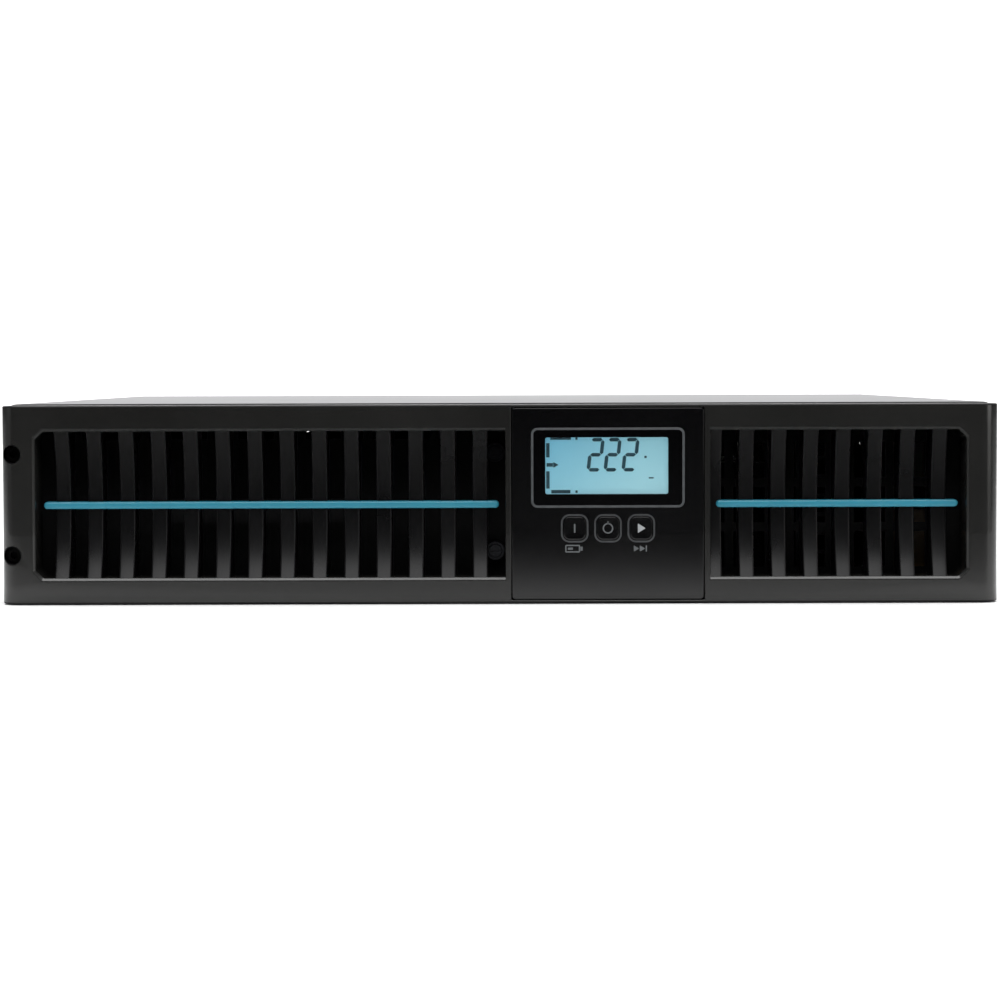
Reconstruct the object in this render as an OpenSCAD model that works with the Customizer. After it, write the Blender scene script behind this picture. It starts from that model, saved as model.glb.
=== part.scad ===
// Rack and tower uninterruptible power supply, two rack units high.
// X runs to the right as seen from the front, Y runs from the front (-Y) to the rear,
// Z is up. The origin is at the middle of the footprint, on the surface the unit stands on.
// All sizes are in millimetres.

/* [Case] */
// Overall width of the case and the front bezel
case_w = 438; // [420:1:530]
// Overall height, two rack units less the gap between units
case_h = 88; // [86:1:106]
// Overall depth, from the bezel's face to the rear-most screw head
case_d = 510; // [480:1:620]
// Thickness of the steel sheet
sheet = 1.2; // [1:0.1:1.5]
// Depth behind the rear panel that guards, flanges and screw heads take up
rear_trim = 4; // [3.6:0.1:5]

/* [Bezel] */
// Depth of the moulded front bezel
bezel_d = 32; // [30:0.5:40]
// Plan radius of the bezel's two upright front edges
bezel_r = 8; // [6:0.5:9.5]
// Wall thickness of the bezel moulding
bezel_wall = 2.4; // [2:0.1:3]
// Gap between the bezel and the top and bottom of the case
bezel_inset = 0.5; // [0.2:0.1:1]

/* [Grilles] */
// Distance from the case's side to the grille opening
grille_side = 15.2; // [14:0.2:19]
// Height of the grille openings
grille_h = 64.2; // [54:0.2:66]
// Width of the chamfer round each grille opening
grille_chamfer = 1.8; // [1:0.1:2.4]
// Size of the cut corners of the grille openings
grille_corner = 5.5; // [3:0.5:8]
// Distance from one fin to the next
fin_pitch = 14.13; // [12:0.01:17]
// Width of the face of a fin
fin_w = 6.7; // [5:0.1:8]
// Depth of the fins behind the bezel's face
fin_d = 20; // [17:0.5:21]
// How far the middle of the fins' faces curves back
fin_sag = 8; // [6:0.5:10]
// Height of the light strips
strip_h = 3.7; // [3:0.1:5]

/* [Display module] */
// Width and height of the square display module
panel_s = 84; // [78:0.5:84]
// X position of the display module's centre
panel_x = 47.4; // [36:0.1:60]
// Width of the window in the module's face
window_w = 67.4; // [60:0.1:72]
// Height of the window
window_h = 35.1; // [30:0.1:37]
// Width of a key cap
key_w = 9.9; // [9:0.1:11.6]
// Height of a key cap
key_h = 10.3; // [9:0.1:12]
// Distance between the centres of neighbouring keys
key_pitch = 14.6; // [14.4:0.1:17]
// How far a key travels when pressed
key_travel = 0.8; // [0.5:0.1:0.9]

/* [Battery pack] */
// Length of one battery block
cell_l = 151; // [125:1:156]
// Width of one battery block without its terminals
cell_w = 94; // [80:1:95]
// Thickness of one battery block
cell_t = 65; // [55:1:68]

/* [Rear] */
// Width and height of a fan frame
fan_s = 80; // [70:1:80]
// Depth of a fan frame
fan_d = 25; // [20:1:32]
// Number of blades on each fan
fan_blades = 7; // [5:1:9]

/* [Fits] */
// Radial clearance of a shaft, peg or pin that moves in a hole
run_fit = 0.05; // [0.02:0.01:0.1]
// Gap round a part that slides in an opening
slide_gap = 0.3; // [0.2:0.05:0.5]

/* [Hidden] */
$fn = 48;

half_w = case_w / 2;
mid_z = case_h / 2;
front_y = -case_d / 2;                  // face of the bezel
case_front = front_y + bezel_d;         // outer face of the front plate
panel_y = case_d / 2 - rear_trim;       // outer face of the rear panel
rear_in = panel_y - sheet;              // inner face of the rear panel
rack_unit = 44.45;

// Screws
m3_r = 1.5;
m4_r = 2;
head_r = 3.4;
head_h = 1.8;
sunk_r = 3;
small_head_r = 2.8;

// Case sheets
cover_bend = 2;
side_out = half_w - sheet;              // outer face of the base's side walls
side_in = side_out - sheet;             // inner face of the base's side walls
flange_h = 12;
side_screw_z = case_h - 13;
side_screw_y = [-0.30, 0.04, 0.38];     // as parts of the case depth
ear_y = case_front + 28;                // centre of the rack-ear holes
ear_span_y = 30;
ear_span_z = rack_unit;

// Bezel
bezel_top = case_h - bezel_inset;
grille_z0 = mid_z - grille_h / 2;
grille_z1 = mid_z + grille_h / 2;
panel_half = panel_s / 2;
well_half = panel_half + slide_gap;
rib = 1.6;
left_x0 = -half_w + grille_side;
left_x1 = panel_x - well_half - 2.6;
right_x0 = panel_x + well_half + 2.6;
right_x1 = half_w - grille_side + 0.8;
fin_first = 11.5;                       // from the opening's outer end to the first fin
tube_d = 22;                            // depth of the grilles' sleeves
sleeve_y1 = 12;                         // how deep the openings are cut from the face
corner_grow = 0.6;                      // how much a cut corner grows with its outline
skin = 0.01;                            // thickness of the outlines a chamfer joins
strip_end = 2.9;
strip_front = front_y + fin_sag - 1.6;
strip_d = 5;
port_x = -half_w + 4.9;                 // bezel screws, near the left upright edge
port_r = 4;
port_depth = 11;
peg_x = half_w - 8;                     // locating pegs at the right end
peg_r = 3;
peg_l = 7;

// Display module, depths from the face
face_t = 3;
bevel = 1.8;
window_t = 2;
window_z = 59.8 - 44 + mid_z;
window_r = 3;
ledge = 3;
lcd_t = 5;
key_z = 33.2 - 44 + mid_z;
key_r = 2.7;
key_gap = 0.25;
key_flange = 1;
key_lip = 0.8;
key_seat = 0.1;
stem_r = 1.6;
board_y = front_y + 12;
switch_h = 4.8;
pcb = 1.6;
module_d = 26;
shell_t = 2;
shell_gap = 0.6;

// Battery bay and pack
bay_x0 = -side_in + 9;
cell_gap = 7.6;                         // room between the columns for the terminals
tray_clear = 0.6;
tray_in = 2 * cell_w + cell_gap + 2 * tray_clear;
tray_w = tray_in + 2 * sheet;
tray_x0 = bay_x0 + 1.5;
tray_x1 = tray_x0 + tray_w;
tray_mid = (tray_x0 + tray_x1) / 2;
bay_wall_x = tray_x1 + 1.5;
tray_z = 4.6;
tray_wall_h = 40;
tray_y0 = case_front - sheet;
cells_y0 = case_front + sheet + 3;
cells_y1 = cells_y0 + 2 * cell_l + 2;
tray_y1 = cells_y1 + 2 + sheet;
plug_l = 14;
plug_h = 22;
plug_w = 44;
plug_x = tray_x1 - 40;
plug_z = 30;
plug_pin_r = 3;
plug_pin_l = 12;
plug_pin_dx = 11;
socket_y0 = tray_y1 + plug_l + 1;
socket_l = 18;
bay_back_y = socket_y0 + 5;
flange_z0 = 3.2;
flange_z1 = case_h - 5;
flange_over = 4.5;                      // flange past the bay wall, for the thumb screws
bay_z0 = 4.2;
bay_z1 = case_h - 6;
runner_w = 12;
pull_span = 80;
pull_d = 9;
pull_h = 9;
pull_t = 1.5;
thumb_r = 4.4;
thumb_x = bay_wall_x + 3.3;

// Boards
board_x0 = bay_wall_x + 9;
board_x1 = side_in - 4;
board_y0 = case_front + 18;
board_z = 8;
rear_board_d = 66;
board_y1 = panel_y - rear_board_d - 20;
filter_x0 = -side_in + 8;
filter_x1 = bay_wall_x - 24;
filter_y0 = bay_back_y + 22;
filter_y1 = rear_in - fan_d - 8;
sink_l = 180;
sink_h = 62;
sink_base = 4;
sink_fin = 22;
sink_fins = 8;
sink_x = [board_x0 + 44, board_x0 + 132];
sink_y = board_y0 + 12;
part_z = board_z + pcb;

// Rear panel layout
fan_z = mid_z;
fan_x = [-side_in + 4.6 + fan_s / 2, -side_in + 6.6 + 1.5 * fan_s];
fan_hole = 0.894 * fan_s / 2;           // mounting holes, from the fan's centre lines
fan_bore = 0.475 * fan_s;
fan_tip = fan_bore - 1.2;
hub_r = 0.22 * fan_s;
fan_arm_t = 3.5;
fan_arm_w = 4;
shaft_r = 1.5;
bearing_r = 4;
bearing_t = 3;
wire_r = 0.8;
inlet_x = fan_x[1] + fan_s / 2 + 27;
inlet_z = 24;
inlet_w = 24.4;
inlet_h = 16.8;
inlet_deep = 15;
inlet_pin = [2, 4];
breaker_z = 66;
outlet_w = 66;
outlet_h = 74;
outlet_dx = 16.5;
outlet_dz = 18;
outlet_x = [inlet_x + 60, inlet_x + 60 + outlet_w + 2];
outlet_deep = 28;
comms_x = half_w - 42;
card_w = 70;
card_h = 30;
card_z = case_h - 23;
usb_x = comms_x - 27;
serial_x = comms_x + 8;
port_z0 = board_z + pcb;
network_x = [comms_x + 2, comms_x + 19];
network_z0 = port_z0 + 15;
epo_x = comms_x - 24;
earth_x = inlet_x + 20;

// ---- helpers ------------------------------------------------------------------

// A box between two corners
module box(x, y, z) {
    translate([x[0], y[0], z[0]])
        cube([x[1] - x[0], y[1] - y[0], z[1] - z[0]]);
}

// A round rod along Y from y0 to y1
module rod_y(r, x, z, y0, y1) {
    translate([x, y0, z])
        rotate([-90, 0, 0])
            cylinder(h = y1 - y0, r = r);
}

// A round rod along X from x0 to x1
module rod_x(r, y, z, x0, x1) {
    translate([x0, y, z])
        rotate([0, 90, 0])
            cylinder(h = x1 - x0, r = r);
}

// A flat drawing in X and Z, made solid from y0 to y1
module facing(y0, y1) {
    translate([0, y1, 0])
        rotate([90, 0, 0])
            linear_extrude(y1 - y0)
                children();
}

// A flat rectangle with round corners, about a centre
module round_rect(cx, cz, w, h, r) {
    translate([cx, cz]) {
        square([w - 2 * r, h], center = true);
        square([w, h - 2 * r], center = true);
        for (sx = [-1, 1], sz = [-1, 1])
            translate([sx * (w / 2 - r), sz * (h / 2 - r)])
                circle(r);
    }
}

// A pan-head screw along Y, its head on the +Y side of the plane y
module rear_screw(x, z, y, length) {
    rod_y(m3_r, x, z, y - length, y);
    difference() {
        rod_y(head_r, x, z, y, y + head_h);
        box([x - 2.2, x + 2.2], [y + head_h - 0.9, y + head_h + 1], [z - 0.4, z + 0.4]);
        box([x - 0.4, x + 0.4], [y + head_h - 0.9, y + head_h + 1], [z - 2.2, z + 2.2]);
    }
}

// ---- case ---------------------------------------------------------------------

// Floor and side walls of the case, folded from one sheet
module chassis_base() {
    color("#b9babc") difference() {
        union() {
            box([-side_out, side_out], [case_front + sheet, rear_in], [0, sheet]);
            for (s = [-1, 1])
                box([s * side_out - (s + 1) / 2 * sheet, s * side_out + (1 - s) / 2 * sheet],
                    [case_front + sheet, rear_in], [0, case_h - sheet - 0.2]);
            box([-side_in, side_in], [rear_in - sheet, rear_in], [0, flange_h]);
            box([-side_in, side_in], [case_front + sheet, case_front + 2 * sheet], [0, bay_z0]);
            for (x = [tray_x0 + 20, tray_x1 - 20 - runner_w])
                box([x, x + runner_w], [case_front + sheet, bay_back_y], [0, tray_z]);
        }
        ear_holes();
        side_screw_holes();
        for (x = rear_screw_x())
            rod_y(m3_r, x, flange_h / 2 + 1, rear_in - 5, rear_in + 1);
        rear_clearance();
    }
}

// Holes that take the rack ears, in each side
module ear_holes() {
    for (sy = [-1, 1], sz = [-1, 1])
        rod_x(m4_r, ear_y + sy * ear_span_y / 2, mid_z + sz * ear_span_z / 2,
              -half_w - 1, half_w + 1);
}

// Countersunk holes for the screws that hold the cover
module side_screw_holes() {
    cover_screw_places() {
        cylinder(h = 4, r = m3_r);
        cylinder(h = sunk_r - m3_r, r1 = sunk_r, r2 = m3_r);
    }
}

// What stands at each cover screw, with its Z axis pointing into the case
module cover_screw_places() {
    for (f = side_screw_y, s = [-1, 1])
        translate([s * half_w, f * case_d, side_screw_z])
            rotate([0, -90 * s, 0])
                children();
}

// Room for the rear fittings in the base's rear flange
module rear_clearance() {
    for (x = fan_x)
        box([x - fan_s / 2 - 0.2, x + fan_s / 2 + 0.2], [rear_in - fan_d - 1, rear_in + 1],
            [fan_z - fan_s / 2 - 0.2, case_h]);
    for (x = outlet_x)
        box([x - outlet_w / 2 + 1.6, x + outlet_w / 2 - 1.6], [rear_in - 30, rear_in + 1],
            [mid_z - outlet_h / 2 + 1.6, case_h]);
    box([comms_x - 38, side_in - 3], [rear_in - 20, rear_in + 1], [board_z - 1, case_h]);
}

// Places of the screws along the foot of the rear panel
function rear_screw_x() = [inlet_x - 12, inlet_x + 16];

// Cover with its two sides, folded from one sheet
module top_cover() {
    color("#c4c5c7") difference() {
        facing(case_front + sheet, panel_y)
            difference() {
                union() {
                    translate([-half_w + cover_bend, 0.5])
                        square([case_w - 2 * cover_bend, case_h - 0.5]);
                    translate([-half_w, 0.5])
                        square([case_w, case_h - 0.5 - cover_bend]);
                    for (s = [-1, 1])
                        translate([s * (half_w - cover_bend), case_h - cover_bend])
                            circle(cover_bend);
                }
                translate([-side_out, 0])
                    square([2 * side_out, case_h - sheet]);
            }
        ear_holes();
        side_screw_holes();
    }
}

// Flat rear panel with the cut-outs for the fans and sockets
module rear_panel() {
    color("#2b2c2e") difference() {
        box([-side_in + 0.1, side_in - 0.1], [rear_in, panel_y], [0.4, case_h - sheet - 0.3]);
        for (x = fan_x) {
            rod_y(fan_bore, x, fan_z, rear_in - 1, panel_y + 1);
            for (sx = [-1, 1], sz = [-1, 1])
                rod_y(m4_r, x + sx * fan_hole, fan_z + sz * fan_hole, rear_in - 1, panel_y + 1);
        }
        box([inlet_x - 14.2, inlet_x + 14.2], [rear_in - 1, panel_y + 1],
            [inlet_z - 10.4, inlet_z + 10.4]);
        rod_y(7, inlet_x, breaker_z, rear_in - 1, panel_y + 1);
        for (x = outlet_x)
            box([x - outlet_w / 2 + 2, x + outlet_w / 2 - 2], [rear_in - 1, panel_y + 1],
                [mid_z - outlet_h / 2 + 2, mid_z + outlet_h / 2 - 2]);
        box([usb_x - 6.2, usb_x + 6.2], [rear_in - 1, panel_y + 1], [port_z0, port_z0 + 11.2]);
        box([serial_x - 10, serial_x + 10], [rear_in - 1, panel_y + 1],
            [port_z0 + 0.6, port_z0 + 11.8]);
        for (s = [-1, 1])
            rod_y(m3_r, serial_x + s * 12.5, port_z0 + 6.2, rear_in - 1, panel_y + 1);
        box([network_x[0] - 8, network_x[1] + 8], [rear_in - 1, panel_y + 1],
            [network_z0, network_z0 + 13.6]);
        box([epo_x - 6.2, epo_x + 6.2], [rear_in - 1, panel_y + 1],
            [network_z0 + 2, network_z0 + 11.6]);
        box([comms_x - card_w / 2 + 6, comms_x + card_w / 2 - 6], [rear_in - 1, panel_y + 1],
            [card_z - card_h / 2 + 2, card_z + card_h / 2 - 2]);
        for (s = [-1, 1])
            rod_y(m3_r, comms_x + s * (card_w / 2 - 3), card_z, rear_in - 1, panel_y + 1);
        rod_y(m4_r, earth_x, mid_z, rear_in - 1, panel_y + 1);
        for (x = rear_screw_x())
            rod_y(m3_r, x, flange_h / 2 + 1, rear_in - 1, panel_y + 1);
        for (z = [16, 22, 28, 34, 54, 60, 66, 72, 78])
            box([earth_x - 4, earth_x + 4], [rear_in - 1, panel_y + 1],
                [z * case_h / 88, z * case_h / 88 + 2.5]);
    }
}

// Front plate behind the bezel: battery door opening and air slots
module front_plate() {
    color("#141415") difference() {
        box([-half_w + 0.5, half_w - 0.5], [case_front, case_front + sheet],
            [0.2, case_h - 0.2]);
        box([tray_x0 - 0.6, tray_x1 + 0.6], [case_front - 1, case_front + sheet + 1],
            [bay_z0, bay_z1]);
        for (sz = [-1, 1]) {
            rod_y(m4_r + run_fit, port_x, mid_z + sz * rack_unit / 2,
                  case_front - 1, case_front + sheet + 1);
            rod_y(peg_r + run_fit, peg_x, mid_z + sz * rack_unit / 2,
                  case_front - 1, case_front + sheet + 1);
        }
        for (z = thumb_z())
            rod_y(m3_r + run_fit, thumb_x, z, case_front - 1, case_front + sheet + 1);
        for (x = [right_x0 + 6 : 9 : right_x1 - 6], z = [14, 34, 54])
            box([x - 2.5, x + 2.5], [case_front - 1, case_front + sheet + 1],
                [z * case_h / 88, (z + 16) * case_h / 88]);
        box([panel_x - 14, panel_x + 14], [case_front - 1, case_front + sheet + 1],
            [mid_z - 6, mid_z + 6]);
    }
}

// Wall along the battery bay, turned across the bay's rear end
module battery_bay_wall() {
    color("#a9abad") difference() {
        union() {
            box([bay_wall_x, bay_wall_x + sheet], [case_front + 2 * sheet, bay_back_y + sheet],
                [sheet, bay_z1]);
            box([-side_in + 0.2, bay_wall_x], [bay_back_y, bay_back_y + sheet],
                [sheet, bay_z1]);
        }
        box([plug_x - plug_w / 2 - 0.1, plug_x + plug_w / 2 + 0.1],
            [bay_back_y - 1, bay_back_y + sheet + 1],
            [plug_z - plug_h / 2 - 0.1, plug_z + plug_h / 2 + 0.1]);
        for (x = [bay_x0 + 14 : 12 : plug_x - plug_w / 2 - 8])
            box([x - 3, x + 3], [bay_back_y - 1, bay_back_y + sheet + 1], [18, 70]);
    }
}

// Countersunk screws that hold the cover to the base
module case_screws() {
    color("#8d8f92") cover_screw_places()
        cover_screw();
}

// One cover screw along Z, its countersunk head flush with the plane z = 0
module cover_screw() {
    difference() {
        union() {
            cylinder(h = 3 * sheet + 2, r = m3_r);
            cylinder(h = sunk_r - m3_r, r1 = sunk_r, r2 = m3_r);
        }
        for (a = [0, 90])
            rotate([0, 0, a])
                translate([-2, -0.4, -1])
                    cube([4, 0.8, 1.9]);
    }
}

// Pan-head screws on the rear panel
module rear_screws() {
    color("#8d8f92") {
        for (x = rear_screw_x())
            rear_screw(x, flange_h / 2 + 1, panel_y, sheet * 2 + 1);
        for (s = [-1, 1])
            rear_screw(comms_x + s * (card_w / 2 - 3), card_z, panel_y + sheet,
                       2 * sheet + 3);
    }
}

// ---- battery connector and leads ------------------------------------------------

// Fixed half of the battery connector, in the bay's rear wall
module battery_socket() {
    color("#37393b") difference() {
        union() {
            box([plug_x - plug_w / 2, plug_x + plug_w / 2], [socket_y0, socket_y0 + socket_l],
                [plug_z - plug_h / 2, plug_z + plug_h / 2]);
            box([plug_x - plug_w / 2 - 4, plug_x + plug_w / 2 + 4],
                [bay_back_y + sheet, bay_back_y + sheet + 2.5],
                [plug_z - plug_h / 2 - 4, plug_z + plug_h / 2 + 4]);
        }
        for (s = [-1, 1])
            rod_y(plug_pin_r + run_fit, plug_x + s * plug_pin_dx, plug_z,
                  socket_y0 - 1, socket_y0 + plug_pin_l + 1);
    }
}

// Leads from the battery connector to the main board
module battery_cables() {
    for (s = [-1, 1])
        color(s > 0 ? "#b3201c" : "#1c1c1e")
            battery_lead(plug_x + s * plug_pin_dx, plug_z, board_x0 + 12 + s * 7,
                         socket_y0 + socket_l, 2.6);
}

// One lead: back from the socket, across to the board and down onto it
module battery_lead(x0, z0, x1, y0, r) {
    bend_y = y0 + 12 + (x0 > plug_x ? 0 : 9);
    y_board = board_y1 - 12 - (x0 > plug_x ? 10 : 0);
    lead_z = z0 + 18 + (x0 > plug_x ? 0 : 8);
    rod_y(r, x0, z0, y0, bend_y);
    translate([x0, bend_y, z0])
        sphere(r);
    translate([x0, bend_y, z0])
        cylinder(h = lead_z - z0, r = r);
    translate([x0, bend_y, lead_z])
        sphere(r);
    rod_x(r, bend_y, lead_z, x0, x1);
    translate([x1, bend_y, lead_z])
        sphere(r);
    rod_y(r, x1, lead_z, min(bend_y, y_board), max(bend_y, y_board));
    translate([x1, y_board, lead_z])
        sphere(r);
    translate([x1, y_board, part_z])
        cylinder(h = lead_z - part_z, r = r);
}

// ---- electronics ----------------------------------------------------------------

// Places of the main board's and the rear boards' fixings
function fixing_places() = concat(
    [for (x = [board_x0 + 6, board_x1 - 6], y = [board_y0 + 6, (board_y0 + board_y1) / 2,
                                                 board_y1 - 6]) [x, y]],
    [for (x = [filter_x0 + 6, filter_x1 - 6], y = [filter_y0 + 6, filter_y1 - 6]) [x, y]],
    [for (x = [comms_x - 32, comms_x + 33], y = [rear_in - rear_board_d + 6,
                                                 rear_in - 30]) [x, y]]);

// A circuit board with holes at those fixings that lie on it
module board(x, y) {
    difference() {
        box(x, y, [board_z, board_z + pcb]);
        for (p = fixing_places())
            translate([p[0], p[1], board_z - 1])
                cylinder(h = pcb + 2, r = m3_r);
    }
}

// Power board along the right side of the case
module main_board() {
    color("#1f5a3a") board([board_x0, board_x1], [board_y0, board_y1]);
}

// Hexagonal standoffs with their screws
module board_fixings() {
    color("#c9a85a") for (p = fixing_places())
        translate([p[0], p[1], sheet]) {
            cylinder(h = board_z - sheet, r = 3.2, $fn = 6);
            cylinder(h = board_z - sheet + pcb, r = m3_r);
            translate([0, 0, board_z - sheet + pcb])
                cylinder(h = head_h, r = small_head_r);
        }
}

// Extruded aluminium heatsinks with fins to one side
module heatsinks() {
    color("#b8bcc0") for (x = sink_x)
        translate([x, sink_y, part_z]) {
            cube([sink_base, sink_l, sink_h]);
            for (i = [0 : sink_fins - 1])
                translate([sink_base, 0, i * (sink_h - 1.6) / (sink_fins - 1)])
                    cube([sink_fin, sink_l, 1.6]);
        }
}

// Power transistors clamped to the flat backs of the heatsinks
module power_transistors() {
    color("#232426") for (x = sink_x, i = [0 : 6])
        translate([x - 5, sink_y + 12 + i * 25, part_z]) {
            translate([0, 0, 16])
                cube([5, 15.6, 20]);
            for (k = [0 : 2])
                translate([1.6, 2.1 + k * 5.4, 0])
                    cube([0.8, 1.2, 16]);
        }
}

// Large electrolytic capacitors of the high-voltage bus
module bulk_capacitors() {
    color("#26324f") for (i = [0 : 1], j = [0 : 2])
        translate([board_x0 + 21, sink_y + 24 + j * 42, part_z])
            if (i == 0)
                cylinder(h = 50, r = 15);
            else
                translate([88, 0, 0])
                    cylinder(h = 50, r = 15);
}

// Boxed film capacitors
module film_capacitors() {
    color("#b98f3a") for (i = [0 : 2])
        translate([board_x1 - 32, sink_y + 16 + i * 44, part_z])
            cube([18, 32, 28]);
}

// Section of a choke ring, a rectangle away from the axis
module ring_section(r0, r1, h, grow) {
    translate([r0 - grow, -h / 2 - grow])
        square([r1 - r0 + 2 * grow, h + 2 * grow]);
}

// Places of the ring chokes and the height of their axis ends
function choke_places() = [[board_x0 + 30, board_y1 - 78], [board_x0 + 82, board_y1 - 78]];

// Ring cores of the chokes
module choke_cores() {
    color("#55585a") for (p = choke_places())
        translate([p[0], p[1], part_z + 12])
            rotate_extrude()
                ring_section(11, 20, 16, 0);
}

// Copper windings round the ring cores
module choke_windings() {
    color("#b5703a") for (p = choke_places())
        translate([p[0], p[1], part_z + 12])
            rotate([0, 0, 20])
                rotate_extrude(angle = 320)
                    difference() {
                        ring_section(11, 20, 16, 4);
                        ring_section(11, 20, 16, 0.3);
                    }
}

// Ferrite core of the main transformer: two outer legs, a centre leg and two yokes
module transformer_core() {
    color("#4a4b4d") translate([board_x1 - 70, board_y1 - 76, part_z])
        difference() {
            cube([56, 30, 52]);
            for (x = [9, 35])
                translate([x, -1, 10])
                    cube([12, 32, 32]);
        }
}

// Wound bobbin round the transformer's centre leg
module transformer_winding() {
    color("#c9a227") translate([board_x1 - 70, board_y1 - 76, part_z])
        difference() {
            translate([9.6, -10, 10.4])
                cube([36.8, 50, 31.2]);
            translate([20.8, -0.2, 9])
                cube([14.4, 30.4, 40]);
        }
}

// Relays along the rear of the main board
module relays() {
    color("#d9dadc") for (i = [0 : 3])
        translate([board_x0 + 50 + i * 20, board_y1 - 34, part_z])
            cube([13, 28, 25]);
}

// Control and communication board behind the rear ports
module control_card() {
    color("#1f5a3a") {
        board([comms_x - 38, side_in - 4], [rear_in - rear_board_d, rear_in - 0.2]);
        translate([comms_x - 12, rear_in - 52, part_z])
            cube([14, 14, 1.6]);
        translate([comms_x + 14, rear_in - 54, part_z])
            cube([10, 18, 2]);
    }
}

// Input filter board behind the battery bay
module filter_board() {
    color("#1f5a3a") board([filter_x0, filter_x1], [filter_y0, filter_y1]);
}

// Ring choke of the input filter, on its board
module filter_choke() {
    color("#b5703a") translate([(filter_x0 + filter_x1) / 2, (filter_y0 + filter_y1) / 2,
                                part_z])
        difference() {
            cylinder(h = 18, r = 18);
            translate([0, 0, -1])
                cylinder(h = 20, r = 8);
        }
}

// ---- fans -------------------------------------------------------------------------

// Flat outline of a fan frame: a square with its round bore
module fan_ring(x) {
    difference() {
        round_rect(x, fan_z, fan_s, fan_s, 4);
        translate([x, fan_z])
            circle(fan_bore);
    }
}

// Flat outline of the motor's hub and the four arms that hold it
module fan_spider(x) {
    translate([x, fan_z]) {
        circle(hub_r);
        for (a = [45 : 90 : 315])
            rotate(a)
                translate([0, -fan_arm_w / 2])
                    square([fan_bore + 1, fan_arm_w]);
    }
}

// Square fan frame with its motor hub held by four arms
module fan_frame(x) {
    color("#1d1e20") difference() {
        union() {
            facing(rear_in - fan_d, rear_in - fan_arm_t)
                fan_ring(x);
            facing(rear_in - fan_arm_t, rear_in) {
                fan_ring(x);
                fan_spider(x);
            }
            rod_y(bearing_r + 1.5, x, fan_z, rear_in - 15, rear_in - 1);
        }
        rod_y(bearing_r, x, fan_z, rear_in - 16, rear_in - 1);
        for (sx = [-1, 1], sz = [-1, 1])
            rod_y(m4_r, x + sx * fan_hole, fan_z + sz * fan_hole,
                  rear_in - fan_d - 1, rear_in + 1);
    }
}

module fan_frame_left() {
    fan_frame(fan_x[0]);
}

module fan_frame_right() {
    fan_frame(fan_x[1]);
}

// Two bearings in each fan's hub
module fan_bearings() {
    color("#c7c9cb") for (x = fan_x, y = [rear_in - 15, rear_in - 1 - bearing_t])
        difference() {
            rod_y(bearing_r, x, fan_z, y, y + bearing_t);
            rod_y(shaft_r + run_fit, x, fan_z, y - 1, y + bearing_t + 1);
        }
}

// Wire finger guards: rings on crossed wires, with an eye at each corner
module fan_guards() {
    color("#cfd1d3") for (x = fan_x)
        translate([x, panel_y, fan_z])
            rotate([-90, 0, 0]) {
                cylinder(h = 2 * wire_r, r = 3.5);
                for (f = [0.25, 0.45, 0.65, 0.85])
                    translate([0, 0, 2.4 * wire_r])
                        rotate_extrude()
                            translate([f * fan_hole * 1.19, 0])
                                rotate(22.5)
                                    circle(wire_r, $fn = 8);
                for (a = [45 : 90 : 315])
                    rotate([0, 0, a])
                        guard_arm();
            }
}

// One arm of a guard, from its hub to the eye round the fan screw
module guard_arm() {
    eye = fan_hole * sqrt(2);
    translate([2, -wire_r, 0])
        cube([eye - 5, 2 * wire_r, 2 * wire_r]);
    translate([eye, 0, 0])
        difference() {
            cylinder(h = 2 * wire_r, r = m4_r + 1.8);
            translate([0, 0, -1])
                cylinder(h = 2 * wire_r + 2, r = m4_r + 0.2);
        }
}

// Screws through the guards, the rear panel and the fan frames
module fan_screws() {
    color("#8d8f92") for (x = fan_x, sx = [-1, 1], sz = [-1, 1])
        translate([x + sx * fan_hole, 0, fan_z + sz * fan_hole])
            fan_screw();
}

// One fan screw along Y, its head resting on the guard's eye
module fan_screw() {
    seat = panel_y + 2 * wire_r;
    top = case_d / 2;
    rod_y(m4_r, 0, 0, rear_in - 12, seat);
    difference() {
        rod_y(3.6, 0, 0, seat, top);
        box([-2.4, 2.4], [top - 1, top + 1], [-0.45, 0.45]);
        box([-0.45, 0.45], [top - 1, top + 1], [-2.4, 2.4]);
    }
}

// Hub, blades and shaft of a fan, in one moulding
module fan_rotor(x) {
    cup = hub_r - 0.5;
    color("#2a2b2d") {
        difference() {
            rod_y(cup, x, fan_z, rear_in - fan_d + 1.5, rear_in - 5);
            rod_y(cup - 1.6, x, fan_z, rear_in - fan_d + 3, rear_in - 4);
        }
        rod_y(shaft_r, x, fan_z, rear_in - fan_d + 2, rear_in - 1.2);
        intersection() {
            difference() {
                rod_y(fan_tip, x, fan_z, rear_in - fan_d + 1, rear_in - 5);
                rod_y(cup - 0.8, x, fan_z, rear_in - fan_d, rear_in);
            }
            for (i = [0 : fan_blades - 1])
                translate([x, rear_in - (fan_d + 4) / 2, fan_z])
                    rotate([0, i * 360 / fan_blades, 0])
                        translate([0, 0, (cup - 1 + fan_tip) / 2])
                            rotate([0, 0, 38])
                                cube([22, 1.6, fan_tip], center = true);
        }
    }
}

module fan_rotor_left() {
    fan_rotor(fan_x[0]);
}

module fan_rotor_right() {
    fan_rotor(fan_x[1]);
}

// ---- rear fittings -----------------------------------------------------------------

// Outline of a three-pin mains connector: a rectangle with its top corners cut
module mains_outline(x, z, w, h, c) {
    polygon([[x - w / 2, z - h / 2], [x + w / 2, z - h / 2], [x + w / 2, z + h / 2 - c],
             [x + w / 2 - c, z + h / 2], [x - w / 2 + c, z + h / 2],
             [x - w / 2, z + h / 2 - c]]);
}

// Offsets of the three pins: live, neutral and the raised earth
function pin_places() = [[-7, -2], [7, -2], [0, 2]];

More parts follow.
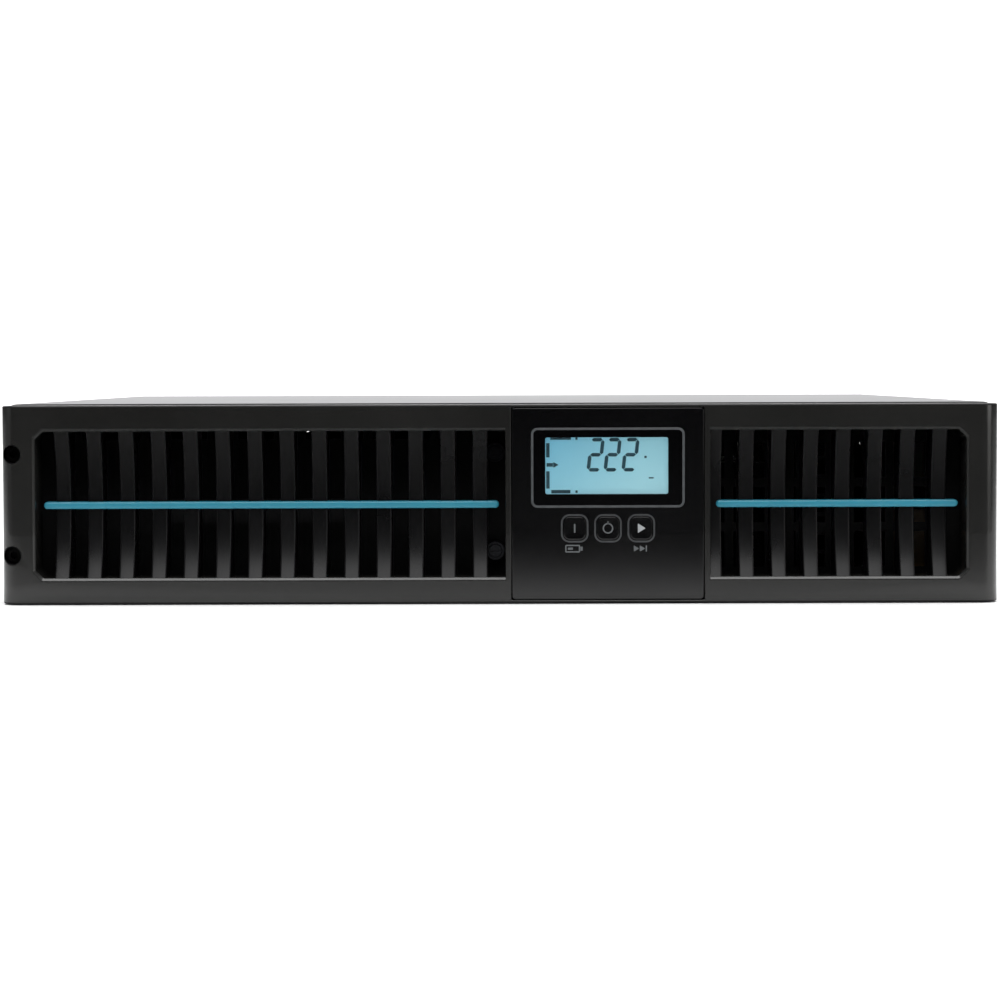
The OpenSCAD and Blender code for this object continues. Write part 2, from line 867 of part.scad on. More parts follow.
// Housing of the mains inlet
module inlet_housing() {
    color("#18191b") difference() {
        union() {
            facing(panel_y - 22, panel_y)
                round_rect(inlet_x, inlet_z, 28, 20.4, 1);
            facing(panel_y, panel_y + 2)
                round_rect(inlet_x, inlet_z, 31.4, 24.6, 2);
        }
        facing(panel_y + 2 - inlet_deep, panel_y + 3)
            mains_outline(inlet_x, inlet_z, inlet_w, inlet_h, 4);
        for (p = pin_places())
            box([inlet_x + p[0] - inlet_pin[0] / 2, inlet_x + p[0] + inlet_pin[0] / 2],
                [panel_y - 30, panel_y],
                [inlet_z + p[1] - inlet_pin[1] / 2, inlet_z + p[1] + inlet_pin[1] / 2]);
    }
}

// Three flat pins of the inlet
module inlet_pins() {
    color("#d2c9ae") for (p = pin_places())
        box([inlet_x + p[0] - inlet_pin[0] / 2, inlet_x + p[0] + inlet_pin[0] / 2],
            [panel_y - 30, panel_y - 1],
            [inlet_z + p[1] - inlet_pin[1] / 2, inlet_z + p[1] + inlet_pin[1] / 2]);
}

// Block of four mains outlets
module outlet_block(x) {
    color("#1b1c1e") difference() {
        union() {
            facing(panel_y, panel_y + 2)
                round_rect(x, mid_z, outlet_w, outlet_h, 2);
            facing(panel_y - outlet_deep, panel_y)
                round_rect(x, mid_z, outlet_w - 4.4, outlet_h - 4.4, 1);
        }
        for (sx = [-1, 1], sz = [-1, 1])
            outlet_recess(x + sx * outlet_dx, mid_z + sz * outlet_dz);
    }
}

// Recess of one outlet: a groove round an island with three slots
module outlet_recess(x, z) {
    difference() {
        facing(panel_y - 14, panel_y + 3)
            mains_outline(x, z, 28, 20.6, 5);
        facing(panel_y - 15, panel_y + 1.4)
            mains_outline(x, z, 23, 15.6, 4);
    }
    for (p = pin_places())
        box([x + p[0] - 1.3, x + p[0] + 1.3], [panel_y - outlet_deep - 1, panel_y + 3],
            [z + p[1] - 2.4, z + p[1] + 2.4]);
}

module outlet_block_left() {
    outlet_block(outlet_x[0]);
}

module outlet_block_right() {
    outlet_block(outlet_x[1]);
}

// Folded contacts deep in the outlets' slots
module outlet_contacts() {
    color("#c8b98a") for (x = outlet_x, sx = [-1, 1], sz = [-1, 1], p = pin_places())
        translate([x + sx * outlet_dx + p[0], 0, mid_z + sz * outlet_dz + p[1]])
            for (s = [-1, 1])
                box([s * 1 - 0.3, s * 1 + 0.3], [panel_y - outlet_deep - 4, panel_y - 4],
                    [-2.4, 2.4]);
}

// Body of the input breaker, with its threaded neck through the panel
module breaker_body() {
    color("#1d1e20") difference() {
        union() {
            box([inlet_x - 8, inlet_x + 8], [panel_y - 34, rear_in],
                [breaker_z - 13, breaker_z + 13]);
            rod_y(6.9, inlet_x, breaker_z, rear_in - 1, panel_y);
            rod_y(9, inlet_x, breaker_z, panel_y, panel_y + 2);
        }
        rod_y(4.5 + run_fit, inlet_x, breaker_z, panel_y - 10, panel_y + 3);
    }
}

// Reset button of the breaker
module breaker_button() {
    color("#e8e8e6")
        rod_y(4.5, inlet_x, breaker_z, panel_y - 9, panel_y + 3.2);
}

// Data socket on the control board
module usb_port() {
    color("#c3c5c7") difference() {
        box([usb_x - 6, usb_x + 6], [panel_y - 16, panel_y + 0.6], [port_z0, port_z0 + 11]);
        box([usb_x - 4.3, usb_x + 4.3], [panel_y - 13, panel_y + 1],
            [port_z0 + 1.6, port_z0 + 9.4]);
    }
    color("#e8e8e6")
        box([usb_x - 2.8, usb_x + 2.8], [panel_y - 13, panel_y - 2],
            [port_z0 + 4.2, port_z0 + 7]);
}

// Nine-pin socket with its shell and jack screws
module serial_port() {
    color("#b9bbbd") difference() {
        union() {
            facing(panel_y, panel_y + 1)
                round_rect(serial_x, port_z0 + 6.2, 31, 12.4, 1);
            facing(rear_in - 14, panel_y)
                round_rect(serial_x, port_z0 + 6.2, 19.6, 11, 1);
            facing(panel_y, panel_y + 3.2)
                serial_outline(9.4, 8.4, 4.6);
        }
        facing(panel_y - 3, panel_y + 4)
            serial_outline(8.6, 7.6, 3.9);
        for (s = [-1, 1])
            rod_y(m3_r, serial_x + s * 12.5, port_z0 + 6.2, panel_y - 1, panel_y + 2);
    }
    color("#c9a85a") {
        for (i = [0 : 4])
            rod_y(0.5, serial_x + (i - 2) * 2.76, port_z0 + 7.6, panel_y - 4, panel_y + 2);
        for (i = [0 : 3])
            rod_y(0.5, serial_x + (i - 1.5) * 2.76, port_z0 + 4.8, panel_y - 4, panel_y + 2);
    }
    color("#9a9c9e") for (s = [-1, 1])
        difference() {
            union() {
                rod_y(m3_r, serial_x + s * 12.5, port_z0 + 6.2, rear_in - 5, panel_y + 1);
                translate([serial_x + s * 12.5, panel_y + 1, port_z0 + 6.2])
                    rotate([-90, 0, 0])
                        cylinder(h = 2.8, r = 2.7, $fn = 6);
            }
            rod_y(1.1, serial_x + s * 12.5, port_z0 + 6.2, panel_y + 1.5, panel_y + 5);
        }
}

// Outline of the nine-pin shell: half widths at the top and bottom, half height
module serial_outline(top, bottom, half_h) {
    z = port_z0 + 6.2;
    polygon([[serial_x - bottom, z - half_h], [serial_x + bottom, z - half_h],
             [serial_x + top, z + half_h], [serial_x - top, z + half_h]]);
}

// Two network sockets for surge protection, side by side on a riser
module network_ports() {
    color("#2a2b2d") for (x = network_x)
        difference() {
            box([x - 7.9, x + 7.9], [panel_y - 18, panel_y + 0.8],
                [network_z0, network_z0 + 13.4]);
            box([x - 5.9, x + 5.9], [panel_y - 14, panel_y + 2],
                [network_z0 + 3.6, network_z0 + 10.4]);
            box([x - 3, x + 3], [panel_y - 14, panel_y + 2],
                [network_z0 + 2, network_z0 + 3.8]);
        }
    color("#1f5a3a")
        box([network_x[0] - 7.9, network_x[1] + 7.9], [panel_y - 26, panel_y - 18],
            [part_z, network_z0 + 13.4]);
}

// Two-way plug for the emergency power-off contact
module epo_plug() {
    color("#2f8a4b") difference() {
        box([epo_x - 6, epo_x + 6], [panel_y - 17, panel_y + 3],
            [network_z0 + 2.2, network_z0 + 11.4]);
        for (s = [-1, 1]) {
            box([epo_x + s * 2.8 - 1.5, epo_x + s * 2.8 + 1.5], [panel_y - 4, panel_y + 4],
                [network_z0 + 4, network_z0 + 7]);
            rod_y(1.2, epo_x + s * 2.8, network_z0 + 9.2, panel_y + 1, panel_y + 4);
        }
    }
    color("#1f5a3a")
        box([epo_x - 6, epo_x + 6], [panel_y - 22, panel_y - 17], [part_z, network_z0 + 11]);
}

// Cover plate over the expansion slot
module card_slot_cover() {
    color("#2b2c2e") difference() {
        facing(panel_y, panel_y + sheet)
            round_rect(comms_x, card_z, card_w, card_h, 1.5);
        for (s = [-1, 1])
            rod_y(m3_r, comms_x + s * (card_w / 2 - 3), card_z, panel_y - 1, panel_y + 3);
    }
}

// Earth stud with its nut and washers
module earth_stud() {
    color("#c9a85a") {
        rod_y(m4_r, earth_x, mid_z, rear_in - 6, panel_y + 3.6);
        for (y = [rear_in - 3.2, panel_y + 0.8])
            translate([earth_x, y, mid_z])
                rotate([-90, 0, 0])
                    cylinder(h = y > rear_in ? 2.4 : 3.2, r = 3.8, $fn = 6);
        rod_y(4.4, earth_x, mid_z, panel_y, panel_y + 0.8);
    }
}

// ---- bezel -------------------------------------------------------------------------

// Plan outline of the bezel, drawn in from its sides by w and from its face by f
module bezel_plan(w, f, r) {
    y1 = case_front;
    translate([-half_w + w, front_y + f + r])
        square([case_w - 2 * w, y1 - front_y - f - r]);
    translate([-half_w + w + r, front_y + f])
        square([case_w - 2 * (w + r), y1 - front_y - f]);
    for (s = [-1, 1])
        translate([s * (half_w - w - r), front_y + f + r])
            circle(r);
}

// Direction in X from a grille's outer end to the end beside the display
function inward(outer, inner) = outer < inner ? 1 : -1;

// Outline of a grille grown by g, with its two outer corners cut off by c
module grille_outline(outer, inner, g, c) {
    s = inward(outer, inner);
    polygon([[inner, grille_z0 - g], [outer + s * (c - g), grille_z0 - g],
             [outer - s * g, grille_z0 - g + c], [outer - s * g, grille_z1 + g - c],
             [outer + s * (c - g), grille_z1 + g], [inner, grille_z1 + g]]);
}

// A grille opening that widens through the chamfer at the bezel's face
module grille_opening(outer, inner) {
    c = grille_chamfer;
    facing(front_y - 1, front_y + sleeve_y1)
        grille_outline(outer, inner, 0, grille_corner);
    hull() {
        facing(front_y - skin, front_y)
            grille_outline(outer, inner, c, grille_corner + corner_grow * c);
        facing(front_y + c - skin, front_y + c)
            grille_outline(outer, inner, 0, grille_corner);
    }
}

// Straight sleeve behind a grille opening, which carries the fins' ends
module grille_sleeve(outer, inner) {
    facing(front_y + 1, front_y + tube_d)
        difference() {
            grille_outline(outer, inner + inward(outer, inner) * rib, rib,
                           grille_corner + corner_grow * rib);
            grille_outline(outer, inner, 0, grille_corner);
        }
}

// Upright fins between x0 and x1, starting at a and stepping by s
module fins(x0, x1, a, s) {
    n = floor((x1 - x0 - fin_first) / fin_pitch + 0.2);
    sag_r = (pow(grille_h / 2, 2) + pow(fin_sag, 2)) / (2 * fin_sag);
    difference() {
        for (i = [0 : n])
            let (x = a + s * i * fin_pitch)
                box([max(x - fin_w / 2, x0 - 1), min(x + fin_w / 2, x1 + 1)],
                    [front_y + 0.4, front_y + fin_d], [grille_z0 - 1, grille_z1 + 1]);
        rod_x(sag_r, front_y + fin_sag - sag_r, mid_z, x0 - 5, x1 + 5);
        strip_slot(x0, x1, 0);
    }
}

// The space a light strip takes up, grown by g
module strip_slot(x0, x1, g) {
    facing(strip_front - g, strip_front + strip_d + g)
        round_rect((x0 + x1) / 2, mid_z - 0.3, x1 - x0 - 2 * strip_end + 2 * g,
                   strip_h + 2 * g, strip_h / 2 + g - 0.05);
}

// Front bezel: shell, grilles with their fins, display well, screw ports and pegs
module front_bezel() {
    color("#141416") {
        difference() {
            union() {
                difference() {
                    translate([0, 0, bezel_inset])
                        linear_extrude(bezel_top - bezel_inset)
                            bezel_plan(0, 0, bezel_r);
                    translate([0, 0, bezel_inset + bezel_wall])
                        linear_extrude(bezel_top - bezel_inset - 2 * bezel_wall)
                            bezel_plan(bezel_wall, 3, bezel_r - bezel_wall);
                    box([-half_w + bezel_wall, half_w - bezel_wall],
                        [case_front - 3, case_front + 1],
                        [bezel_inset + bezel_wall, bezel_top - bezel_wall]);
                }
                display_well();
                for (sz = [-1, 1])
                    screw_boss(mid_z + sz * rack_unit / 2);
                grille_sleeve(left_x0, left_x1);
                grille_sleeve(right_x1, right_x0);
            }
            grille_opening(left_x0, left_x1);
            grille_opening(right_x1, right_x0);
            display_opening();
            for (sz = [-1, 1]) {
                rod_y(port_r, port_x, mid_z + sz * rack_unit / 2,
                      front_y - 1, front_y + port_depth);
                rod_y(m4_r, port_x, mid_z + sz * rack_unit / 2, front_y, case_front + 1);
            }
        }
        fins(left_x0, left_x1, left_x0 + fin_first, 1);
        fins(right_x0, right_x1, right_x1 - fin_first, -1);
        for (sz = [-1, 1])
            locating_peg(mid_z + sz * rack_unit / 2);
    }
}

// Square sleeve that guides the display module, with a stop at its rear
module display_well() {
    w = well_half + rib;
    box([panel_x - w, panel_x + w], [front_y + 1, front_y + module_d + 2.5],
        [bezel_inset + 0.2, bezel_top - 0.2]);
}

// Space for the display module, and the smaller hole behind its stop
module display_opening() {
    z0 = mid_z - well_half;
    z1 = mid_z + well_half;
    box([panel_x - well_half, panel_x + well_half], [front_y - 1, front_y + module_d + 0.1],
        [z0, z1]);
    box([panel_x - well_half + 6, panel_x + well_half - 6],
        [front_y, front_y + module_d + 5], [z0 + 6, z1 - 6]);
}

// Boss round a bezel screw, joined to the bezel's end wall
module screw_boss(z) {
    intersection() {
        union() {
            rod_y(port_r + 1.8, port_x, z, front_y + 2, case_front);
            box([-half_w + 0.5, port_x], [front_y + 2, case_front],
                [z - port_r - 1.8, z + port_r + 1.8]);
        }
        translate([0, 0, bezel_inset])
            linear_extrude(bezel_top - bezel_inset)
                bezel_plan(0, 0, bezel_r);
    }
}

// Peg at the right end that enters a hole in the front plate
module locating_peg(z) {
    rod_y(peg_r, peg_x, z, front_y + 3, case_front + peg_l - 2);
    translate([peg_x, case_front + peg_l - 2, z])
        rotate([-90, 0, 0])
            cylinder(h = 2, r1 = peg_r, r2 = peg_r - 1.2);
    box([peg_x, half_w - bezel_wall + 0.5], [front_y + 3, case_front], [z - 1, z + 1]);
}

// Light strip across the left grille
module light_strip_left() {
    color("#3f8ea4") strip_slot(left_x0, left_x1, 0);
}

// Light strip across the right grille
module light_strip_right() {
    color("#3f8ea4") strip_slot(right_x0, right_x1, 0);
}

// Screws that hold the bezel's left end to the front plate
module bezel_screws() {
    color("#1c1d1f") for (sz = [-1, 1])
        bezel_screw(mid_z + sz * rack_unit / 2);
}

// One bezel screw: socket head at the bottom of its port
module bezel_screw(z) {
    seat = front_y + port_depth;
    rod_y(m4_r, port_x, z, seat, case_front + 6);
    difference() {
        rod_y(3.5, port_x, z, seat - 4, seat);
        translate([port_x, seat - 5, z])
            rotate([-90, 0, 0])
                cylinder(h = 3.4, r = 1.7, $fn = 6);
    }
}

// ---- display module -------------------------------------------------------------------

// X centres of the three keys
function key_x() = [panel_x - key_pitch, panel_x, panel_x + key_pitch];

// Square face of the module, with a bevel round its front edge
module display_face() {
    color("#0c0c0e") difference() {
        intersection() {
            box([panel_x - panel_half, panel_x + panel_half], [front_y, front_y + face_t],
                [mid_z - panel_half, mid_z + panel_half]);
            face_profile();
            translate([panel_x, 0, mid_z])
                rotate([0, 90, 0])
                    translate([-panel_x, 0, -mid_z])
                        face_profile();
        }
        facing(front_y - 1, front_y + window_t + 0.1)
            round_rect(panel_x, window_z, window_w + 0.2, window_h + 0.2, window_r);
        facing(front_y, front_y + face_t + 1)
            round_rect(panel_x, window_z, window_w - 2 * ledge, window_h - 2 * ledge, 1);
        for (x = key_x())
            facing(front_y - 1, front_y + face_t + 1)
                round_rect(x, key_z, key_w + 2 * key_gap, key_h + 2 * key_gap,
                           key_r + key_gap);
    }
}

// The face seen from above: straight sides with bevelled front corners
module face_profile() {
    translate([panel_x, front_y, 0])
        linear_extrude(case_h)
            polygon([[-panel_half, bevel * 0.6], [-panel_half + bevel, 0],
                     [panel_half - bevel, 0], [panel_half, bevel * 0.6],
                     [panel_half, face_t], [-panel_half, face_t]]);
}

// Clear window set in the face
module display_window() {
    color([0.1, 0.12, 0.14, 0.5]) facing(front_y + 0.1, front_y + 0.1 + window_t)
        round_rect(panel_x, window_z, window_w, window_h, window_r - 0.1);
}

// Liquid-crystal panel with its backlight, behind the window
module lcd_panel() {
    color("#86b7c4")
        box([panel_x - window_w / 2 + 0.6, panel_x + window_w / 2 - 0.6],
            [front_y + face_t, front_y + face_t + lcd_t],
            [window_z - window_h / 2 + 0.6, window_z + window_h / 2 - 0.6]);
}

// Board of the display module with its three key switches
module display_board() {
    s = panel_half - 4.5;
    color("#1f5a3a") difference() {
        box([panel_x - s, panel_x + s], [board_y, board_y + pcb], [mid_z - s, mid_z + s]);
        for (sx = [-1, 1], sz = [-1, 1])
            rod_y(m3_r, panel_x + sx * (s - 4), mid_z + sz * (s - 4),
                  board_y - 1, board_y + pcb + 1);
    }
    color("#2a2b2d") for (x = key_x()) {
        box([x - 3, x + 3], [board_y - switch_h + 1, board_y], [key_z - 3, key_z + 3]);
        rod_y(1.75, x, key_z, board_y - switch_h, board_y - switch_h + 1);
    }
    color("#d9dadc")
        box([panel_x - 20, panel_x + 20], [front_y + face_t + lcd_t, board_y],
            [window_z - 4, window_z + 4]);
    color("#e6e2d4")
        box([panel_x - 8, panel_x + 8], [board_y + pcb, board_y + pcb + 6],
            [mid_z - 3, mid_z + 3]);
}

// Rear shell of the module, with a post behind each corner of its board
module display_housing() {
    out = panel_half - shell_gap + slide_gap;
    s = panel_half - 8.5;
    color("#1a1b1d") {
        difference() {
            box([panel_x - out, panel_x + out], [front_y + face_t, front_y + module_d],
                [mid_z - out, mid_z + out]);
            box([panel_x - out + shell_t, panel_x + out - shell_t],
                [front_y + face_t - 1, front_y + module_d - shell_t],
                [mid_z - out + shell_t, mid_z + out - shell_t]);
            box([panel_x - 10, panel_x + 10],
                [front_y + module_d - shell_t - 1, front_y + module_d + 1],
                [mid_z - 5, mid_z + 5]);
        }
        for (sx = [-1, 1], sz = [-1, 1]) {
            rod_y(3.5, panel_x + sx * s, mid_z + sz * s,
                  board_y + pcb, front_y + module_d - shell_t);
            rod_y(m3_r, panel_x + sx * s, mid_z + sz * s, board_y, board_y + pcb);
        }
    }
}

// One key: cap, retaining flange and stem
module key(x) {
    color("#101012") {
        facing(front_y, front_y + face_t + key_seat)
            round_rect(x, key_z, key_w, key_h, key_r);
        facing(front_y + face_t + key_seat, front_y + face_t + key_seat + key_flange)
            round_rect(x, key_z, key_w + 2 * key_lip, key_h + 2 * key_lip, key_r);
        rod_y(stem_r, x, key_z, front_y + face_t + key_flange,
              board_y - switch_h - key_travel - key_seat);
    }
}

module button_on() {
    key(key_x()[0]);
}

module button_off() {
    key(key_x()[1]);
}

module button_select() {
    key(key_x()[2]);
}

// ---- battery pack ------------------------------------------------------------------------

// Heights of the two thumb screws on the tray's front flange
function thumb_z() = [case_h * 0.25, case_h * 0.75];

// Folded tray with its front flange and pull
module battery_tray() {
    color("#141415") {
        difference() {
            union() {
                box([tray_x0, tray_x1], [case_front, tray_y1], [tray_z, tray_z + sheet]);
                for (x = [tray_x0, tray_x1 - sheet])
                    box([x, x + sheet], [case_front, tray_y1], [tray_z, tray_z + tray_wall_h]);
                box([tray_x0, tray_x1], [tray_y1 - sheet, tray_y1],
                    [tray_z, tray_z + tray_wall_h]);
                box([tray_x0 - 1.2, thumb_x + flange_over], [tray_y0, case_front],
                    [flange_z0, flange_z1]);
            }
            for (z = thumb_z())
                rod_y(m3_r, thumb_x, z, tray_y0 - 1, case_front + 1);
            for (x = [tray_x0 + 12 : 10 : tray_x1 - 12], z = [72])
                box([x - 3, x + 3], [tray_y0 - 1, case_front + 1],
                    [z * case_h / 88, z * case_h / 88 + 6]);
            for (s = [-1, 1])
                rod_y(plug_pin_r + 1.6, plug_x + s * plug_pin_dx, plug_z,
                      tray_y1 - sheet - 1, tray_y1 + 1);
        }
        tray_pull();
    }
}

// Pull on the tray's front: a lip with its edge turned down, to hook fingers behind
module tray_pull() {
    x = [tray_mid - pull_span / 2, tray_mid + pull_span / 2];
    box(x, [tray_y0 - pull_d, tray_y0], [mid_z, mid_z + pull_t]);
    box(x, [tray_y0 - pull_d, tray_y0 - pull_d + pull_t], [mid_z - pull_h, mid_z + pull_t]);
}

// Corner of the battery block in column col and row row
function cell_x(col) = tray_x0 + sheet + tray_clear + col * (cell_w + cell_gap);
function cell_y(row) = cells_y0 + row * (cell_l + 2);
cell_z = tray_z + sheet;

// Four sealed battery blocks lying on their sides
module batteries() {
    color("#3b3d40") for (col = [0, 1], row = [0, 1])
        difference() {
            translate([cell_x(col), cell_y(row), cell_z])
                cube([cell_w, cell_l, cell_t]);
            translate([cell_x(col) + (col == 0 ? 10 : cell_w - 12), cell_y(row) - 1,
                       cell_z - 1])
                cube([2, 2, cell_t + 2]);
        }
}

// Terminal tabs and the links that join the blocks, down the middle of the tray
module battery_links() {
    x0 = cell_x(0) + cell_w;
    x1 = cell_x(1);
    z0 = cell_z + 12;
    z1 = cell_z + cell_t - 14;
    color("#c7c9cb") for (row = [0, 1], z = [z0, z1]) {
        box([x0, x0 + 5], [cell_y(row) + 20, cell_y(row) + 27], [z, z + 1]);
        box([x1 - 5, x1], [cell_y(row) + 20, cell_y(row) + 27], [z, z + 1]);
    }
    color("#b3201c") {
        box([x0 + 2, x1 - 2], [cell_y(0) + 21, cell_y(0) + 26], [z0 + 1, z0 + 4]);
        box([x0 + 2, x1 - 2], [cell_y(1) + 21, cell_y(1) + 26], [z0 + 1, z0 + 4]);
        box([x0 + 1, x0 + 5], [cell_y(0) + 21, cell_y(1) + 26], [z1 + 1, z1 + 4]);
    }
}

// Moving half of the battery connector, with its two pins
module battery_plug() {
    color("#8d2a22") difference() {
        box([plug_x - plug_w / 2 + 1, plug_x + plug_w / 2 - 1], [tray_y1, tray_y1 + plug_l],
            [plug_z - plug_h / 2 + 1, plug_z + plug_h / 2 - 1]);
        box([plug_x - 3, plug_x + 3], [tray_y1 + 4, tray_y1 + plug_l + 1],
            [plug_z - plug_h / 2, plug_z + plug_h / 2]);
    }
    color("#c8b98a") for (s = [-1, 1])
        rod_y(plug_pin_r, plug_x + s * plug_pin_dx, plug_z, tray_y1 - 3,
              socket_y0 + plug_pin_l);
}

// Captive thumb screws of the battery pack
module tray_screws() {
    color("#5d6063") for (z = thumb_z()) {
        rod_y(m3_r, thumb_x, z, tray_y0, case_front + 6);
        rod_y(thumb_r, thumb_x, z, tray_y0 - 5, tray_y0);
        rod_y(thumb_r - 1.4, thumb_x, z, tray_y0 - 6, tray_y0 - 5);
    }
}

// ---- drawing ------------------------------------------------------------------------------

chassis_base();
top_cover();
rear_panel();
front_plate();
battery_bay_wall();
case_screws();
rear_screws();
battery_socket();
battery_cables();
main_board();
board_fixings();
heatsinks();
power_transistors();
bulk_capacitors();
film_capacitors();
choke_cores();
choke_windings();
transformer_core();
transformer_winding();
relays();
control_card();
filter_board();
filter_choke();
fan_frame_left();
fan_frame_right();
fan_bearings();
fan_guards();
fan_screws();
inlet_housing();
inlet_pins();
outlet_block_left();
outlet_block_right();
outlet_contacts();
breaker_body();
usb_port();
serial_port();
network_ports();
epo_plug();
card_slot_cover();
earth_stud();
fan_rotor_left();
fan_rotor_right();
breaker_button();
front_bezel();
light_strip_left();
light_strip_right();
bezel_screws();
display_housing();
display_face();
display_window();
lcd_panel();
display_board();
button_on();
button_off();
button_select();
battery_tray();
batteries();
battery_links();
battery_plug();
tray_screws();
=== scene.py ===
import math

import bmesh
import bpy
import numpy as np
from mathutils import Matrix, Vector
from mathutils.geometry import delaunay_2d_cdt


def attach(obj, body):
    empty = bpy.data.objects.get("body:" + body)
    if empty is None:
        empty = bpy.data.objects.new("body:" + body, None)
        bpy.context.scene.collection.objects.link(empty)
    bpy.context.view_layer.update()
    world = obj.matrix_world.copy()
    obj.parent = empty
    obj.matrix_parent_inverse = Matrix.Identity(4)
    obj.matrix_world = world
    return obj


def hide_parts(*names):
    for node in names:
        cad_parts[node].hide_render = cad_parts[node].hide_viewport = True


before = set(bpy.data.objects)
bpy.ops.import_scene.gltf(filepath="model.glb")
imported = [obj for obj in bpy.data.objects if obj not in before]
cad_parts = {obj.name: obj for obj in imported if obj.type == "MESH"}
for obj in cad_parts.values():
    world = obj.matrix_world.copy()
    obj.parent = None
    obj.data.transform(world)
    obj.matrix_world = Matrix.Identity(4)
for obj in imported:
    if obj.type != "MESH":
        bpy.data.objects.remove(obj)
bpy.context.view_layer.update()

# Sizes are in millimetres, in the frame's own axes: X to the right, Y to the rear, Z up.
# hold() turns them to metres when it makes a piece.

# ---- studio ----------------------------------------------------------------------------------
# A sheet of matt white card lies under the unit and sweeps up behind it. A wide softbox hangs
# overhead, one hangs high in front and one lights the card behind, and two long ones stand low
# at the sides. A black flag and two sheets of graded film that clear towards the unit, which
# the camera doesn't see, keep reflections in the unit dark above the floor.

EYE, AIM, LENS, ROLL = (2.8, -1580, 101.2), (0.1, -255, 45.75), 108.95, 0.17
SWEEP = {"half": 1800, "front": -1500, "back": 1900, "bend": 700, "top": 3000}
FLAG = {"half": 1500, "y": -1150, "top": 430}
FILM = {   # height, rear end, distances where it starts and ends to darken, least cover
    "floor_film": (1, 900, 10, 295, 0.0),
    "raised_film": (30, -257, 0, 110, 0.5),
}
ASIDE = 0.1                 # share of the way past the sides
FOOT_X, FOOT_Y = 0.219, 0.255   # half the width and depth of the unit, in metres
LIGHTS = {  # place, what it points at, width, height, watts, colour
    "softbox_over": ((0, -100, 1900), (0, 100, 0), 2.1, 1.5, 56, "#ffffff"),
    "softbox_front": ((0, -1500, 1300), (0, -200, 40), 1.7, 0.8, 15, "#ffffff"),
    "softbox_back": ((0, 900, 2300), (0, 2500, 700), 3.0, 1.0, 90, "#ffffff"),
    "softbox_left": ((-1500, -700, 260), (-150, -200, 60), 0.5, 1.2, 0.8, "#fbfdff"),
    "softbox_right": ((1350, -900, 200), (150, -200, 40), 0.6, 1.2, 5, "#fffefb"),
}


def linear(colour):
    """sRGB hex to linear RGBA: c / 12.92 below 0.04045, else ((c + 0.055) / 1.055) ** 2.4."""
    c = np.array([int(colour[i:i + 2], 16) for i in (1, 3, 5)]) / 255
    return (*np.where(c < 0.04045, c / 12.92, ((c + 0.055) / 1.055) ** 2.4), 1.0)


def add(tree, kind, inputs=None, **settings):
    """Adds a shader node, sets its properties, and links or sets each of its inputs."""
    made = tree.nodes.new("ShaderNode" + kind)
    for key, value in settings.items():
        setattr(made, key, value)
    for key, value in (inputs or {}).items():
        if isinstance(value, bpy.types.NodeSocket):
            tree.links.new(value, made.inputs[key])
        else:
            made.inputs[key].default_value = value
    return made


def substance(name, **sockets):
    """A material with one Principled shader; returns it, its tree, the shader, and the
    piece's own coordinates in metres."""
    made = bpy.data.materials.new(name)
    made.use_nodes = True
    made.node_tree.nodes.clear()
    shader = add(made.node_tree, "BsdfPrincipled",
                 {key.replace("_", " "): value for key, value in sockets.items()})
    add(made.node_tree, "OutputMaterial", {"Surface": shader.outputs[0]})
    return made, made.node_tree, shader, add(made.node_tree, "TexCoord").outputs["Object"]


def grained(name, dark, light, rough, patch, grain, depth, **sockets):
    """A material whose colour drifts from dark to light and whose roughness drifts between
    two values over patches of one size, with a fine grain of another size and depth, in mm."""
    made, tree, shader, place = substance(name, **sockets)
    drift = add(tree, "TexNoise", {"Vector": place, "Scale": 1000 / patch, "Detail": 3.0})
    fine = add(tree, "TexNoise", {"Vector": place, "Scale": 1000 / grain, "Detail": 2.0})
    share = add(tree, "MapRange", {"Value": drift.outputs[0], "From Min": 0.3, "From Max": 0.7})
    tone = add(tree, "Mix", {"Factor": share.outputs[0], "A": linear(dark), "B": linear(light)},
               data_type="RGBA")
    tree.links.new(tone.outputs[2], shader.inputs["Base Color"])
    gloss = add(tree, "MapRange", {"Value": share.outputs[0], "To Min": rough[0],
                                   "To Max": rough[1]})
    tree.links.new(gloss.outputs[0], shader.inputs["Roughness"])
    bump = add(tree, "Bump", {"Height": fine.outputs[0], "Distance": depth / 1000})
    tree.links.new(bump.outputs[0], shader.inputs["Normal"])
    return made


def grid(points, closed=False):
    """Faces over an array of points [row, column]: each face joins a point to its neighbours
    in the next row and column; closed joins the last column to the first."""
    rows, columns = points.shape[:2]
    index = np.arange(rows * columns).reshape(rows, columns)
    if closed:
        index = np.hstack([index, index[:, :1]])
    faces = np.stack([index[:-1, :-1], index[:-1, 1:], index[1:, 1:], index[1:, :-1]], -1)
    return points.reshape(-1, 3), faces.reshape(-1, 4)


def capped(points):
    """The wall over an array of closed sections [row, column], and a face on each end."""
    walls, faces = grid(points, closed=True)
    n, count = points.shape[1], len(walls)
    return [(walls, faces), (walls, [list(range(n))]), (walls, [list(range(count - n, count))])]


